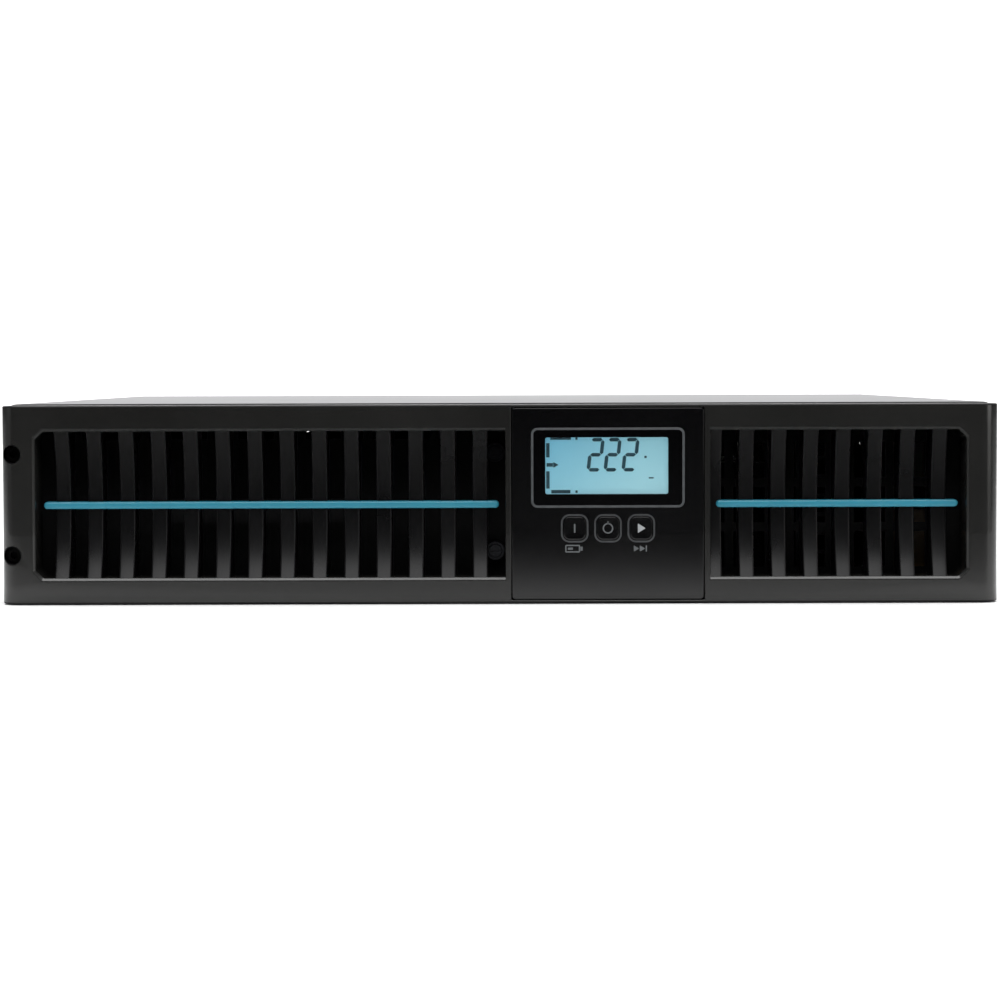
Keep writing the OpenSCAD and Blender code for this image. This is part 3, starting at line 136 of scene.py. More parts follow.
def hold(name, parts, materials, angle=32):
    """One object from parts, each its points in mm, its faces and the number of its material.
    Points that meet are merged, faces turned outwards and edges sharper than angle kept."""
    points, faces, numbers, start = [], [], [], 0
    for place, face, *number in parts:
        points.append(np.asarray(place, float) / 1000)
        faces += (np.asarray(face) + start).tolist()
        numbers += [number[0] if number else 0] * len(face)
        start += len(place)
    mesh = bpy.data.meshes.new(name)
    mesh.from_pydata(np.vstack(points).tolist(), [], faces)
    mesh.polygons.foreach_set("material_index", numbers)
    for material in materials:
        mesh.materials.append(material)
    work = bmesh.new()
    work.from_mesh(mesh)
    bmesh.ops.remove_doubles(work, verts=work.verts, dist=2e-6)
    bmesh.ops.dissolve_degenerate(work, edges=work.edges, dist=1e-7)
    bmesh.ops.delete(work, geom=[v for v in work.verts if not v.link_faces], context="VERTS")
    bmesh.ops.recalc_face_normals(work, faces=work.faces)
    work.to_mesh(mesh)
    work.free()
    mesh.shade_smooth()
    mesh.set_sharp_from_angle(angle=math.radians(angle))
    made = bpy.data.objects.new(name, mesh)
    bpy.context.scene.collection.objects.link(made)
    return made


def sweep_profile(half, front, back, bend, top):
    """The card's section: level from front to back, then a quarter circle of radius bend up
    to a straight rise; carried from one side to the other."""
    turn = np.linspace(0, math.pi / 2, 24)
    y = np.concatenate([[front], back + bend * np.sin(turn), [back + bend]])
    z = np.concatenate([[0], bend * (1 - np.cos(turn)), [top]])
    x = np.array([-half, half])
    return np.stack(np.broadcast_arrays(x[None, :], y[:, None], z[:, None]), -1)


card = grained("matt_white_card", "#f4f4f4", "#fafafa", (0.85, 0.95), 300, 2, 0.01)
floor = hold("studio_sweep", [grid(sweep_profile(**SWEEP))], [card], angle=80)
black_felt = grained("black_felt", "#020202", "#040404", (0.95, 1.0), 50, 3, 0.2)
half, y, top = FLAG["half"], FLAG["y"], FLAG["top"]
flag = hold("studio_flag", [(np.array([(-half, y, 0), (half, y, 0), (half, y, top),
                                       (-half, y, top)]), [[0, 1, 2, 3]])], [black_felt])
flag.visible_camera = flag.visible_shadow = flag.visible_diffuse = False


def graded_film(name, height, rear, first, last, least):
    """A level sheet whose opacity rises from least to 1 with the distance from the unit's
    footprint: the larger of the way past its front and a share of the way past its sides. It
    is clear from below."""
    made, tree, shader, place = substance("graded_black_" + name, Roughness=1.0,
                                          Base_Color=linear("#020202"))
    split = add(tree, "SeparateXYZ", {"Vector": place})
    reach = add(tree, "Math", {0: split.outputs[0]}, operation="ABSOLUTE")
    aside = add(tree, "Math", {0: reach.outputs[0], 1: ASIDE, 2: -FOOT_X * ASIDE},
                operation="MULTIPLY_ADD")
    ahead = add(tree, "Math", {0: -FOOT_Y, 1: split.outputs[1]}, operation="SUBTRACT")
    way = add(tree, "Math", {0: aside.outputs[0], 1: ahead.outputs[0]}, operation="MAXIMUM")
    shade = add(tree, "MapRange", {"Value": way.outputs[0], "From Min": first / 1000,
                                   "From Max": last / 1000, "To Min": least})
    front = add(tree, "Math", {0: 1.0, 1: add(tree, "NewGeometry").outputs["Backfacing"]},
                operation="SUBTRACT")
    cover = add(tree, "Math", {0: shade.outputs[0], 1: front.outputs[0]}, operation="MULTIPLY")
    tree.links.new(cover.outputs[0], shader.inputs["Alpha"])
    x, y = FLAG["half"], FLAG["y"]
    sheet = hold("studio_" + name, [(np.array([(-x, y, height), (x, y, height), (x, rear, height),
                                               (-x, rear, height)]), [[0, 1, 2, 3]])], [made])
    if sheet.data.polygons[0].normal.z < 0:
        sheet.data.flip_normals()
    sheet.visible_camera = sheet.visible_diffuse = sheet.visible_shadow = False
    sheet.visible_transmission = False
    return sheet


[graded_film(name, *sizes) for name, sizes in FILM.items()]

# The room beyond the card is dim, but a camera that looks past the card sees it pale.
world = bpy.data.worlds.new("studio")
bpy.context.scene.world = world
world.use_nodes = True
room = world.node_tree
seen = add(room, "LightPath")
level = add(room, "MapRange", {"Value": seen.outputs["Is Camera Ray"], "To Min": 0.10,
                               "To Max": 1.0})
room.links.new(level.outputs[0], room.nodes["Background"].inputs["Strength"])
room.nodes["Background"].inputs["Color"].default_value = linear("#f8f9fa")

for name, (place, target, width, height, watts, colour) in LIGHTS.items():
    lamp = bpy.data.lights.new(name, "AREA")
    lamp.shape, lamp.size, lamp.size_y, lamp.energy = "RECTANGLE", width, height, watts
    lamp.color = linear(colour)[:3]
    holder = bpy.data.objects.new(name, lamp)
    holder.location = Vector(place) / 1000
    holder.rotation_euler = (Vector(target) - Vector(place)).to_track_quat("-Z", "Y").to_euler()
    bpy.context.scene.collection.objects.link(holder)

lens = bpy.data.cameras.new("camera")
lens.lens, lens.clip_end = LENS, 50
camera = bpy.data.objects.new("camera", lens)
camera.location = Vector(EYE) / 1000
look = (Vector(AIM) - Vector(EYE)).to_track_quat("-Z", "Y").to_matrix().to_4x4()
camera.rotation_euler = (look @ Matrix.Rotation(math.radians(-ROLL), 4, "Z")).to_euler()
bpy.context.scene.collection.objects.link(camera)
bpy.context.scene.camera = camera
bpy.context.scene.view_settings.view_transform = "Standard"

# ---- front bezel -----------------------------------------------------------------------------
# The bezel is one injection moulding in black ABS with a satin face. Its upright edges are
# rounded, two grille openings are chamfered, and the display module sits in a square well.

HALF_W, FRONT, REAR, LOW, HIGH = 219, -255, -223, 0.5, 87.5
MID_Z, PANEL_X, EDGE_R, FILLET, WALL = 44, 47.4, 8, 0.7, 2.4
WELL_HALF, WELL_DEPTH, STOP_DEPTH, STOP_IN = 42.3, 26.1, 28.5, 6
GRILLE_LOW, GRILLE_HIGH, SLEEVE_DEPTH, CHAMFER, CORNER = 11.9, 76.1, 22, 1.2, 3.4
GRILLES = {"left": (-203.8, 2.5), "right": (204.6, 92.3)}        # outer end, inner end
PORT_X, PORT_Z, PORT_R, PORT_DEPTH = -214.1, (21.775, 66.225), 4, 11
PEG_X, PEG_R = 211, 3
SIDE, ARC, FLAT = 24, math.pi / 2 * EDGE_R, 2 * (HALF_W - EDGE_R)  # stretches of the plan


def rounded(corners, radius, steps=6):
    """Closed outline through flat corners, each an arc of the given radius tangent to both
    sides: its points are the centre plus the two end directions, mixed by the sines of the
    angles left and gone (an even turn from one to the other)."""
    corners = np.asarray(corners, float)
    radius = np.broadcast_to(np.asarray(radius, float), len(corners))[:, None]
    before, after = np.roll(corners, 1, 0) - corners, np.roll(corners, -1, 0) - corners
    before /= np.linalg.norm(before, axis=1, keepdims=True)
    after /= np.linalg.norm(after, axis=1, keepdims=True)
    half = np.arccos(np.clip((before * after).sum(1, keepdims=True), -1, 1)) / 2
    middle = (before + after) / np.linalg.norm(before + after, axis=1, keepdims=True)
    centre = corners + middle * radius / np.sin(half)
    first = corners + before * radius / np.tan(half) - centre
    last = corners + after * radius / np.tan(half) - centre
    turn, share = math.pi - 2 * half[:, :, None], np.linspace(0, 1, steps + 1)[None, :, None]
    arc = (np.sin((1 - share) * turn) * first[:, None] + np.sin(share * turn) * last[:, None])
    return (centre[:, None] + arc / np.sin(turn)).reshape(-1, 2)


def box_outline(x, z, half_w, half_h, radius, steps=6):
    """A rectangle with round corners about (x, z)."""
    return rounded([(x - half_w, z - half_h), (x + half_w, z - half_h),
                    (x + half_w, z + half_h), (x - half_w, z + half_h)], radius, steps)


def at(outline, y):
    """An X-Z outline as points in space at the depth y, one value or one for each point."""
    return np.column_stack([outline[:, 0], np.broadcast_to(y, len(outline)), outline[:, 1]])


def loft(*rings):
    """A wall through closed rings of equally many points, each joined to the next."""
    return grid(np.stack(rings), closed=True)


def within(outline, points):
    """True for each point inside the outline, by the even-odd rule: a level line from the
    point crosses the outline an odd number of times."""
    a, b = outline, np.roll(outline, -1, 0)
    x, z = points[:, :1], points[:, 1:]
    spans = (a[:, 1] > z) != (b[:, 1] > z)
    rise = np.where(b[:, 1] == a[:, 1], 1, b[:, 1] - a[:, 1])
    return (spans & (x < a[:, 0] + (z - a[:, 1]) * (b[:, 0] - a[:, 0]) / rise)).sum(1) % 2 == 1


def plate(outline, holes=(), inside=()):
    """The flat region between an outline and its holes, as triangles of a constrained
    Delaunay triangulation whose middles lie in the outline and in no hole."""
    loops = [np.asarray(loop, float) for loop in (outline, *holes)]
    points = np.vstack(loops + ([np.asarray(inside, float)] if len(inside) else []))
    edges, start = [], 0
    for loop in loops:
        index = start + np.arange(len(loop))
        edges += np.column_stack([index, np.roll(index, -1)]).tolist()
        start += len(loop)
    made = delaunay_2d_cdt([Vector(p) for p in points], edges, [], 0, 1e-6)
    flat, faces = np.array([tuple(p) for p in made[0]]), np.array(made[2])
    middle = flat[faces].mean(1)
    keep = within(loops[0], middle)
    for loop in loops[1:]:
        keep &= ~within(loop, middle)
    return flat, faces[keep]


def facing(y, outline, holes=(), number=0):
    """A flat plate in X and Z at the depth y."""
    flat, faces = plate(outline, holes)
    return at(flat, y), faces, number


def lathe_y(x, z, profile, steps=28, number=0):
    """Radii at depths y turned about the Y axis through (x, z): each ring is the radius times
    the cosine and sine of an even turn. A radius of zero closes an end."""
    turn = np.linspace(0, 2 * math.pi, steps, endpoint=False)
    radius, y = np.array(profile, float).T
    ring = np.stack(np.broadcast_arrays(x + radius[:, None] * np.cos(turn), y[:, None],
                                        z + radius[:, None] * np.sin(turn)), -1)
    return (*grid(ring, closed=True), number)


def bezel_plan(s, inset=0.0):
    """Point of the bezel's plan at a distance s along it, from the rear of the left side,
    round the front, to the rear of the right side: straight, quarter circle of radius EDGE_R,
    straight, quarter circle, straight; moved inwards by inset along the normal."""
    mirrored = s > SIDE + ARC + FLAT / 2
    s = np.where(mirrored, 2 * (SIDE + ARC) + FLAT - s, s)
    turn = np.clip((s - SIDE) / EDGE_R, 0, math.pi / 2)
    radius = EDGE_R - inset
    x = -HALF_W + EDGE_R - radius * np.cos(turn) + np.clip(s - SIDE - ARC, 0, None)
    y = FRONT + EDGE_R - radius * np.sin(turn) + np.clip(SIDE - s, 0, None)
    return np.where(mirrored, -x, x), y


def along_plan(x):
    """Distance along the plan of a front point at x: from the circle's cosine on the left
    rounded edge, else straight on from its end."""
    turn = np.arccos(np.clip((-HALF_W + EDGE_R - x) / EDGE_R, 0, 1))
    return np.where(x < -HALF_W + EDGE_R, SIDE + EDGE_R * turn, SIDE + ARC + x + HALF_W - EDGE_R)


def grille_outline(side, grow, inner_grow, radius=1.2):
    """A grille opening grown by grow at its top, bottom and outer end, and by inner_grow at
    the square end beside the display. Its two outer corners are cut off at 45 degrees."""
    outer, inner = GRILLES[side]
    s = 1 if outer < inner else -1
    cut = CORNER + 0.6 * grow
    low, high, end, near = (GRILLE_LOW - grow, GRILLE_HIGH + grow, outer - s * grow,
                            inner + s * inner_grow)
    corners = [(near, low), (near, high), (end + s * cut, high), (end, high - cut),
               (end, low + cut), (end + s * cut, low)]
    return rounded(corners, [0.05, 0.05, radius, radius, radius, radius], 4)


def grille_rings(side):
    """Rings from the face through the rounded chamfer to the sleeve's rear edge, and back
    along its outside: how much each is grown, and its depth."""
    steps = [(CHAMFER + 0.5, 0.5, 0), (CHAMFER + 0.2, 0.25, 0), (CHAMFER - 0.05, 0.1, 0.05),
             (CHAMFER - 0.22, 0.02, 0.2), (0.2, 0, CHAMFER - 0.22), (0.05, 0, CHAMFER - 0.05),
             (0, 0, CHAMFER + 0.2), (0, 0, SLEEVE_DEPTH - 0.3), (0.3, 0.3, SLEEVE_DEPTH),
             (1.3, 0.5, SLEEVE_DEPTH), (1.6, 0.8, SLEEVE_DEPTH - 0.3), (1.6, 0.8, 3)]
    return [at(grille_outline(side, grow, inner), FRONT + y) for grow, inner, y in steps]


def well_rings():
    """Square rings from the face over a rounded rim, down the display well, over its stop
    and out through the smaller hole behind; the rim is rounder at its two sides."""
    steps = [(0.75, 0.3, 0), (0.6, 0.22, 0), (0.3, 0.1, 0.12), (0.1, 0.02, 0.35), (0, 0, 0.7),
             (0, 0, WELL_DEPTH), (-STOP_IN, -STOP_IN, WELL_DEPTH),
             (-STOP_IN, -STOP_IN, STOP_DEPTH)]
    return [at(box_outline(PANEL_X, MID_Z, WELL_HALF + x, WELL_HALF + z, 0.9), FRONT + y)
            for x, z, y in steps]


def around_port(z, steps):
    """Rings about a port's axis. One with a depth of 0 follows the bezel's rounded edge, whose
    depth is EDGE_R less the root of EDGE_R squared less the distance past the edge squared,
    sunk by a little; any other is flat at its depth."""
    turn = np.linspace(0, 2 * math.pi, 40, endpoint=False)
    rings = []
    for radius, sink, depth in steps:
        x = PORT_X + radius * np.cos(turn)
        past = np.clip(-HALF_W + EDGE_R - x, 0, EDGE_R)
        y = FRONT + EDGE_R - np.sqrt(EDGE_R ** 2 - past ** 2) + sink
        y = np.full_like(x, FRONT + depth) if depth else y
        rings.append(np.column_stack([x, y, z + radius * np.sin(turn)]))
    return rings


def port_rings(z):
    """A screw port: over its rim, down a straight bore and across the flat bottom."""
    r, deep = PORT_R, PORT_DEPTH
    return around_port(z, [(r + 0.4, 0, 0), (r + 0.12, 0.02, 0), (r, 0.25, 0), (r, 0, deep),
                           (r - 1, 0, deep), (0, 0, deep)])


def notched_hollow(near, low, high, reach):
    """The left hollow's outline: a rectangle whose outer side steps in round the two square
    bosses that hold the ports."""
    out, step = -HALF_W + WALL, PORT_X + reach
    corners = [(near, low), (near, high), (out, high)]
    for z in PORT_Z[::-1]:
        corners += [(out, z + reach), (step, z + reach), (step, z - reach), (out, z - reach)]
    return rounded(corners + [(out, low)], 0.6, 3)


def bezel_parts():
    """The whole moulding as one closed skin: the unrolled front and sides with their holes,
    the edges' fillets, the top and bottom, the rear rim, and the hollows behind."""
    arc = np.linspace(0, ARC, 11)
    columns = np.concatenate([[0], SIDE + arc, SIDE + ARC + FLAT + arc, [2 * (SIDE + ARC) + FLAT]])
    low, high = LOW + FILLET, HIGH - FILLET
    frame_line = np.vstack([np.column_stack([columns, np.full_like(columns, low)]),
                            np.column_stack([columns[::-1], np.full_like(columns, high)])])
    rings = [grille_rings("left"), grille_rings("right"), well_rings(),
             port_rings(PORT_Z[0]), port_rings(PORT_Z[1])]
    holes = [np.column_stack([along_plan(r[0][:, 0]), r[0][:, 2]]) for r in rings]
    bent = np.concatenate([SIDE + arc, SIDE + ARC + FLAT + arc])
    level = np.linspace(low, high, 12)[1:-1]
    inside = np.stack(np.meshgrid(bent, level), -1).reshape(-1, 2)
    for hole in holes:
        inside = inside[~within(hole, inside)]
    flat, faces = plate(frame_line, holes, inside)
    x, y = bezel_plan(flat[:, 0])
    parts = [(np.column_stack([x, y, flat[:, 1]]), faces)]
    # The port bores take the second, darker material: painted shade down the bores.
    parts += [(*loft(*ring), number) for ring, number in zip(rings, (0, 0, 0, 1, 1))]
    turn = np.linspace(0, math.pi / 2, 6)
    inset = np.append(FILLET * (1 - np.cos(turn)), FILLET + 0.3)
    rise = np.append(FILLET * np.sin(turn), FILLET)
    ends = []
    for base, sign in ((low, -1), (high, 1)):
        x, y = bezel_plan(columns[None, :], inset[:, None])
        z = np.broadcast_to((base + sign * rise)[:, None], x.shape)
        parts.append((*grid(np.stack([x, y, z], -1)), 1))
        flat, faces = plate(np.column_stack([x[-1], y[-1]]))
        parts.append((np.column_stack([flat, np.full(len(flat), base + sign * FILLET)]), faces, 1))
        ends.append((np.column_stack([x[:, 0], z[:, 0]]), np.column_stack([x[:, -1], z[:, -1]])))
    (low_left, low_right), (high_left, high_right) = ends
    rim = np.vstack([low_left[::-1], high_left, high_right[::-1], low_right])
    inner_low, inner_high = LOW + WALL, HIGH - WALL
    near, far = PANEL_X - WELL_HALF - 1.6, PANEL_X + WELL_HALF + 1.6
    hollows = [(-HALF_W + WALL, near), (far, HALF_W - WALL), (near + 2, far - 2)]
    outlines = [box_outline((a + b) / 2, MID_Z, (b - a) / 2, (inner_high - inner_low) / 2, 0.8)
                for a, b in hollows]
    floors = [FRONT + 3, FRONT + 3, FRONT + STOP_DEPTH]
    outlines[0] = notched_hollow(near, inner_low, inner_high, PORT_R + 0.8)
    parts.append(facing(REAR, rim, outlines))
    for outline, depth, ring in zip(outlines, floors, rings):
        parts.append(loft(at(outline, REAR), at(outline, depth)))
        parts.append(facing(depth, outline, [ring[-1][:, [0, 2]]]))
    for z in PORT_Z:
        parts.append(lathe_y(PEG_X, z, [(0, FRONT + 2.5), (PEG_R, FRONT + 2.5), (PEG_R, REAR + 5),
                                        (PEG_R - 1.2, REAR + 7), (0, REAR + 7)]))
    return parts


# Black ABS with a spark-eroded satin skin: it mirrors its surroundings softly. The grain of
# the tool, about 0.1 mm, is drawn at 0.9 mm so that it just breaks up the reflections.
black_abs = grained("moulded_black_abs", "#181817", "#1d1d1c", (0.2, 0.25), 60, 0.9, 0.0025,
                    IOR=1.5)
# The top and underside are drawn off a rougher part of the tool, and look dull. Their colour,
# and that of the edge fillets and port bores, is darker than the face's: painted shade.
dull_shaded_abs = grained("dull_shaded_black_abs", "#0c0c0d", "#111112", (0.5, 0.6), 40, 0.9, 0.004,
                   Specular_IOR_Level=0.25)
bezel = hold("bezel_moulding", bezel_parts(), [black_abs, dull_shaded_abs])
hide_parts("front_bezel")
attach(bezel, "bezel")

# ---- grille fins -----------------------------------------------------------------------------
# Upright fins of the same moulding cross each opening. Their faces curve back in the middle,
# and their front edges are rounded over.

FIN = {"width": 6.7, "pitch": 14.13, "first": 11.5, "back": 20, "sag": 8, "edge": 0.8}
FIN_COUNT = {"left": 14, "right": 8}


def fin(x0, x1, rows=33):
    """One fin: its section is a rectangle with round front edges, carried up along z, with
    its face on the circle that starts just behind the chamfer and lies sag deep midway."""
    z = np.linspace(GRILLE_LOW - 1, GRILLE_HIGH + 1, rows)
    reach = (GRILLE_HIGH - GRILLE_LOW) / 2
    bow = FIN["sag"] - CHAMFER
    circle = (reach ** 2 + bow ** 2) / (2 * bow)
    face = FIN["sag"] - circle + np.sqrt(circle ** 2 - (z - MID_Z) ** 2)
    turn = np.linspace(0, math.pi / 2, 5)
    r = FIN["edge"]
    x = np.concatenate([[x0], x0 + r * (1 - np.cos(turn)), x1 - r * (1 - np.sin(turn)), [x1]])
    dip = np.concatenate([[0], r * (1 - np.sin(turn)), r * (1 - np.cos(turn)), [0]])
    y = FRONT + face[:, None] + dip
    y[:, 0] = y[:, -1] = FRONT + FIN["back"]
    return capped(np.stack(np.broadcast_arrays(x, y, z[:, None]), -1))


# Same ABS as the face, a little rougher, coloured far darker: painted shade on the sunken fins.
shaded_fin_abs = grained("shaded_fin_black_abs", "#070708", "#0b0b0c", (0.26, 0.32), 25, 0.8, 0.003,
                  IOR=1.5, Specular_IOR_Level=0.25)
for side, (outer, inner) in GRILLES.items():
    s = 1 if outer < inner else -1
    parts = []
    for i in range(FIN_COUNT[side]):
        x = outer + s * (FIN["first"] + i * FIN["pitch"])
        x0, x1 = x - FIN["width"] / 2, x + FIN["width"] / 2
        if side == "right":
            x0 = max(x0, inner - 1)
        parts += fin(x0, x1)
    fins = hold("fins_" + side, parts, [shaded_fin_abs], angle=40)
    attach(fins, "bezel")

# ---- light strips ----------------------------------------------------------------------------
# A teal polycarbonate light guide lies in slots across the fins of each grille. It is moulded
# with round ends, and its face stands a little proud of the middle of the fins.

STRIP = {"z": 43.6, "height": 3.2, "end": 2.9, "front": 6.4, "depth": 5, "edge": 0.9}


def strip_parts(side):
    """A bar drawn as its round-ended outline, carried from front to rear; near the front the
    outline draws in along a quarter circle of the edge's radius."""
    a, b = sorted(GRILLES[side])
    half = (b - a) / 2 - STRIP["end"]
    turn = np.linspace(math.pi / 2, 0, 6)
    inset = np.append(STRIP["edge"] * (1 - np.cos(turn)), [0, 0])
    depth = np.append(STRIP["edge"] * (1 - np.sin(turn)), [STRIP["edge"] + 0.4, STRIP["depth"]])
    rings = [at(box_outline((a + b) / 2, STRIP["z"], half - i, STRIP["height"] / 2 - i,
                            STRIP["height"] / 2 - i - 0.02, 8), FRONT + STRIP["front"] + d)
             for i, d in zip(inset, depth)]
    return [loft(*rings), facing(rings[0][0, 1], rings[0][:, [0, 2]]),
            facing(rings[-1][0, 1], rings[-1][:, [0, 2]])]


# Teal polycarbonate, moulded: a translucent body that scatters light just under its skin, so
# it looks even and a little soft at its edges, with a satin face.
# Its teal is also given off faintly (emission 0.16): a painted glow; no lamp in the scene lights
# it.
teal_guide, tree, shader, place = substance(
    "moulded_teal_polycarbonate", Roughness=0.28, IOR=1.58, Subsurface_Weight=0.15,
    Subsurface_Scale=0.002, Emission_Strength=0.16)
drift = add(tree, "TexNoise", {"Vector": place, "Scale": 1000 / 25, "Detail": 2.0})
tone = add(tree, "Mix", {"Factor": drift.outputs[0], "A": linear("#227084"),
                         "B": linear("#2a7c90")}, data_type="RGBA")
tree.links.new(tone.outputs[2], shader.inputs["Base Color"])
tree.links.new(tone.outputs[2], shader.inputs["Emission Color"])
for side in GRILLES:
    strip = hold("light_guide_" + side, strip_parts(side), [teal_guide])
    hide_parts("light_strip_" + side)
    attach(strip, "bezel")

# ---- bezel screws ----------------------------------------------------------------------------
# Two black socket-head screws hold the bezel's left end. Each head lies at the bottom of its
# port, with a hexagonal socket and a softened rim.

SCREW = {"head": 3.5, "height": 4, "socket": 1.7, "deep": 3, "shank": 2, "length": 26.4}


def socket_screw(x, z):
    """Rings about Y: a hexagonal socket's floor and walls, then the head's rim, side and
    seat, and the shank to its end. The hexagon's radius is r times cos 30 degrees over the
    cosine of the angle from the nearest flat."""
    turn = np.linspace(0, 2 * math.pi, 36, endpoint=False)
    hexagon = math.cos(math.pi / 6) / np.cos((turn + math.pi / 6) % (math.pi / 3) - math.pi / 6)
    seat = FRONT + PORT_DEPTH
    top, h, shank = seat - SCREW["height"], SCREW["socket"], SCREW["shank"]
    head, height, end = SCREW["head"], SCREW["height"], SCREW["height"] + SCREW["length"]
    steps = [(0, SCREW["deep"], 1), (h, SCREW["deep"], 1), (h, 0.2, 1), (h + 0.2, 0, 1),
             (2.9, 0, 0), (3.3, 0.12, 0), (3.48, 0.4, 0), (head, 0.8, 0), (head, height, 0),
             (shank, height, 0), (shank, end, 0), (0, end + 0.6, 0)]
    rings = [np.column_stack([x + r * np.cos(turn) * (hexagon if six else 1),
                              np.full_like(turn, top + y),
                              z + r * np.sin(turn) * (hexagon if six else 1)])
             for r, y, six in steps]
    return loft(*rings)


# Alloy steel with black oxide: a dark, faintly warm metal, smooth but not bright.
black_oxide = grained("black_oxide_steel", "#050505", "#080807", (0.5, 0.65), 4, 0.4, 0.003,
                      Metallic=0.2, Specular_IOR_Level=0.1)
screws = hold("bezel_socket_screws", [socket_screw(PORT_X, z) for z in PORT_Z], [black_oxide])
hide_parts("bezel_screws")
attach(screws, "bezel")

# ---- display face ----------------------------------------------------------------------------
# The display module's face is a square of piano-black ABS with a softened edge. It has a window
# recess and three key holes, each framed in printed pale grey, and small printed marks.

FACE_HALF, FACE_T, FACE_Y = 42, 3, FRONT + 0.03
WINDOW = {"z": 59.8, "w": 67.4, "h": 35.1, "r": 2.9, "ledge": 3}
KEY = {"z": 33.2, "pitch": 14.6, "w": 9.9, "h": 10.3, "r": 2.7, "gap": 0.25, "frame": 0.85}
KEY_X = [PANEL_X - KEY["pitch"], PANEL_X, PANEL_X + KEY["pitch"]]


def window_outline(grow, radius=None):
    """The window's outline grown by grow, its corner radius with it."""
    return box_outline(PANEL_X, WINDOW["z"], WINDOW["w"] / 2 + grow, WINDOW["h"] / 2 + grow,
                       radius or WINDOW["r"] + grow)


def key_outline(x, grow, steps=8):
    """A key cap's outline grown by grow, its corner radius with it."""
    return box_outline(x, KEY["z"], KEY["w"] / 2 + grow, KEY["h"] / 2 + grow,
                       max(KEY["r"] + grow, 0.05), steps)


def face_parts():
    """Square rings up the sides and over the rounded edge, a front plate with its holes,
    the printed frames between plate and keys, the stepped window recess, and the back."""
    steps = [(0, FACE_T), (0, 0.4), (0.03, 0.24), (0.12, 0.1), (0.25, 0.03), (0.4, 0), (0.8, 0)]
    rings = [at(box_outline(PANEL_X, MID_Z, FACE_HALF - i, FACE_HALF - i, 1.4),
                FRONT + y + (0.03 if y < 1 else 0)) for i, y in steps]
    recess = [(0.45, 0), (0.2, 0), (0.1, 0.12), (0.1, 2.1), (-WINDOW["ledge"], 2.1),
              (-WINDOW["ledge"], FACE_T)]
    recess = [at(window_outline(g, 1 if g < 0 else None), FACE_Y + y - (0.03 if y > 2.5 else 0))
              for g, y in recess]
    parts = [loft(*rings), loft(*recess)]
    outer, back = [recess[0][:, [0, 2]]], [recess[-1][:, [0, 2]]]
    for x in KEY_X:
        gap = KEY["gap"]
        hole = [at(key_outline(x, gap + g), FACE_Y + y) for g, y in
                ((KEY["frame"], 0), (0.15, 0), (0.04, 0.05), (0, 0.15), (0, FACE_T - 0.03))]
        parts.append((*loft(hole[0], hole[1]), 1))
        parts.append((*loft(hole[1], hole[2]), 1))
        parts.append(loft(*hole[2:]))
        outer.append(hole[0][:, [0, 2]])
        back.append(hole[-1][:, [0, 2]])
    parts.append(facing(FACE_Y, rings[-1][:, [0, 2]], outer))
    parts.append(facing(FRONT + FACE_T, rings[0][:, [0, 2]], back))
    return parts


# Piano-black ABS: jet black under its own polished skin, with a faint long waviness from
# moulding, so reflections are clear and only just bent.
piano_black = grained("polished_black_abs", "#060607", "#09090a", (0.13, 0.18), 30, 9, 0.003,
                      IOR=1.5, Specular_IOR_Level=0.45)
# Pad-printed pale grey ink: thin, even, slightly dry at its surface.
grey_ink = grained("printed_grey_ink", "#4c4f51", "#565a5c", (0.45, 0.6), 2.0, 0.5, 0.003)
# The rings round the keys are the same ink, thinned to a darker grey.
dark_ink = grained("printed_dark_grey_ink", "#2c2e30", "#343638", (0.45, 0.6), 2.0, 0.5, 0.003)
face = hold("display_front", face_parts(), [piano_black, dark_ink])
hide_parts("display_face")
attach(face, "display")


def mark(outline, y, number=0, holes=()):
    """A printed mark: the flat plate within an outline, 0.01 mm before the surface."""
    return facing(y - 0.01, outline, holes, number)


def bar(x0, x1, z0, z1, radius=0.12):
    """A small rectangle between two corners."""
    return box_outline((x0 + x1) / 2, (z0 + z1) / 2, (x1 - x0) / 2, (z1 - z0) / 2, radius, 2)


def pointer(x, z, length, height):
    """A triangle that points to the right."""
    return rounded([(x - length / 2, z - height / 2), (x + length / 2, z),
                    (x - length / 2, z + height / 2)], 0.15, 2)


# Two small printed pictograms stand under the first and the last key: a cell with its level,
# and a pair of pointers with a line.
marks = [mark(bar(28.6, 35.2, 22.6, 26.0, 0.5), FACE_Y, 0, [bar(29.2, 34.6, 23.2, 25.4, 0.2)]),
         mark(bar(35.3, 36.3, 23.4, 25.2), FACE_Y), mark(bar(29.8, 32.0, 23.8, 24.8), FACE_Y),
         mark(pointer(59.9, 24.3, 2.4, 2.8), FACE_Y), mark(pointer(62.5, 24.3, 2.4, 2.8), FACE_Y),
         mark(bar(63.9, 64.5, 22.9, 25.7), FACE_Y)]
prints = hold("display_marks", marks, [grey_ink])
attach(prints, "display")

# ---- display window --------------------------------------------------------------------------
# A slab of hard-coated acrylic fills the recess. Its border is printed from behind, a pale grey
# line at the rim and black within; the clear middle shows the liquid-crystal panel.

VIEW = {"x": 46.9, "z": 60.65, "w": 53.9, "h": 24.9, "r": 0.9, "line": 1.05, "t": 2}


def view_outline(grow):
    """The clear middle's outline grown by grow."""
    return box_outline(VIEW["x"], VIEW["z"], VIEW["w"] / 2 + grow, VIEW["h"] / 2 + grow, VIEW["r"])


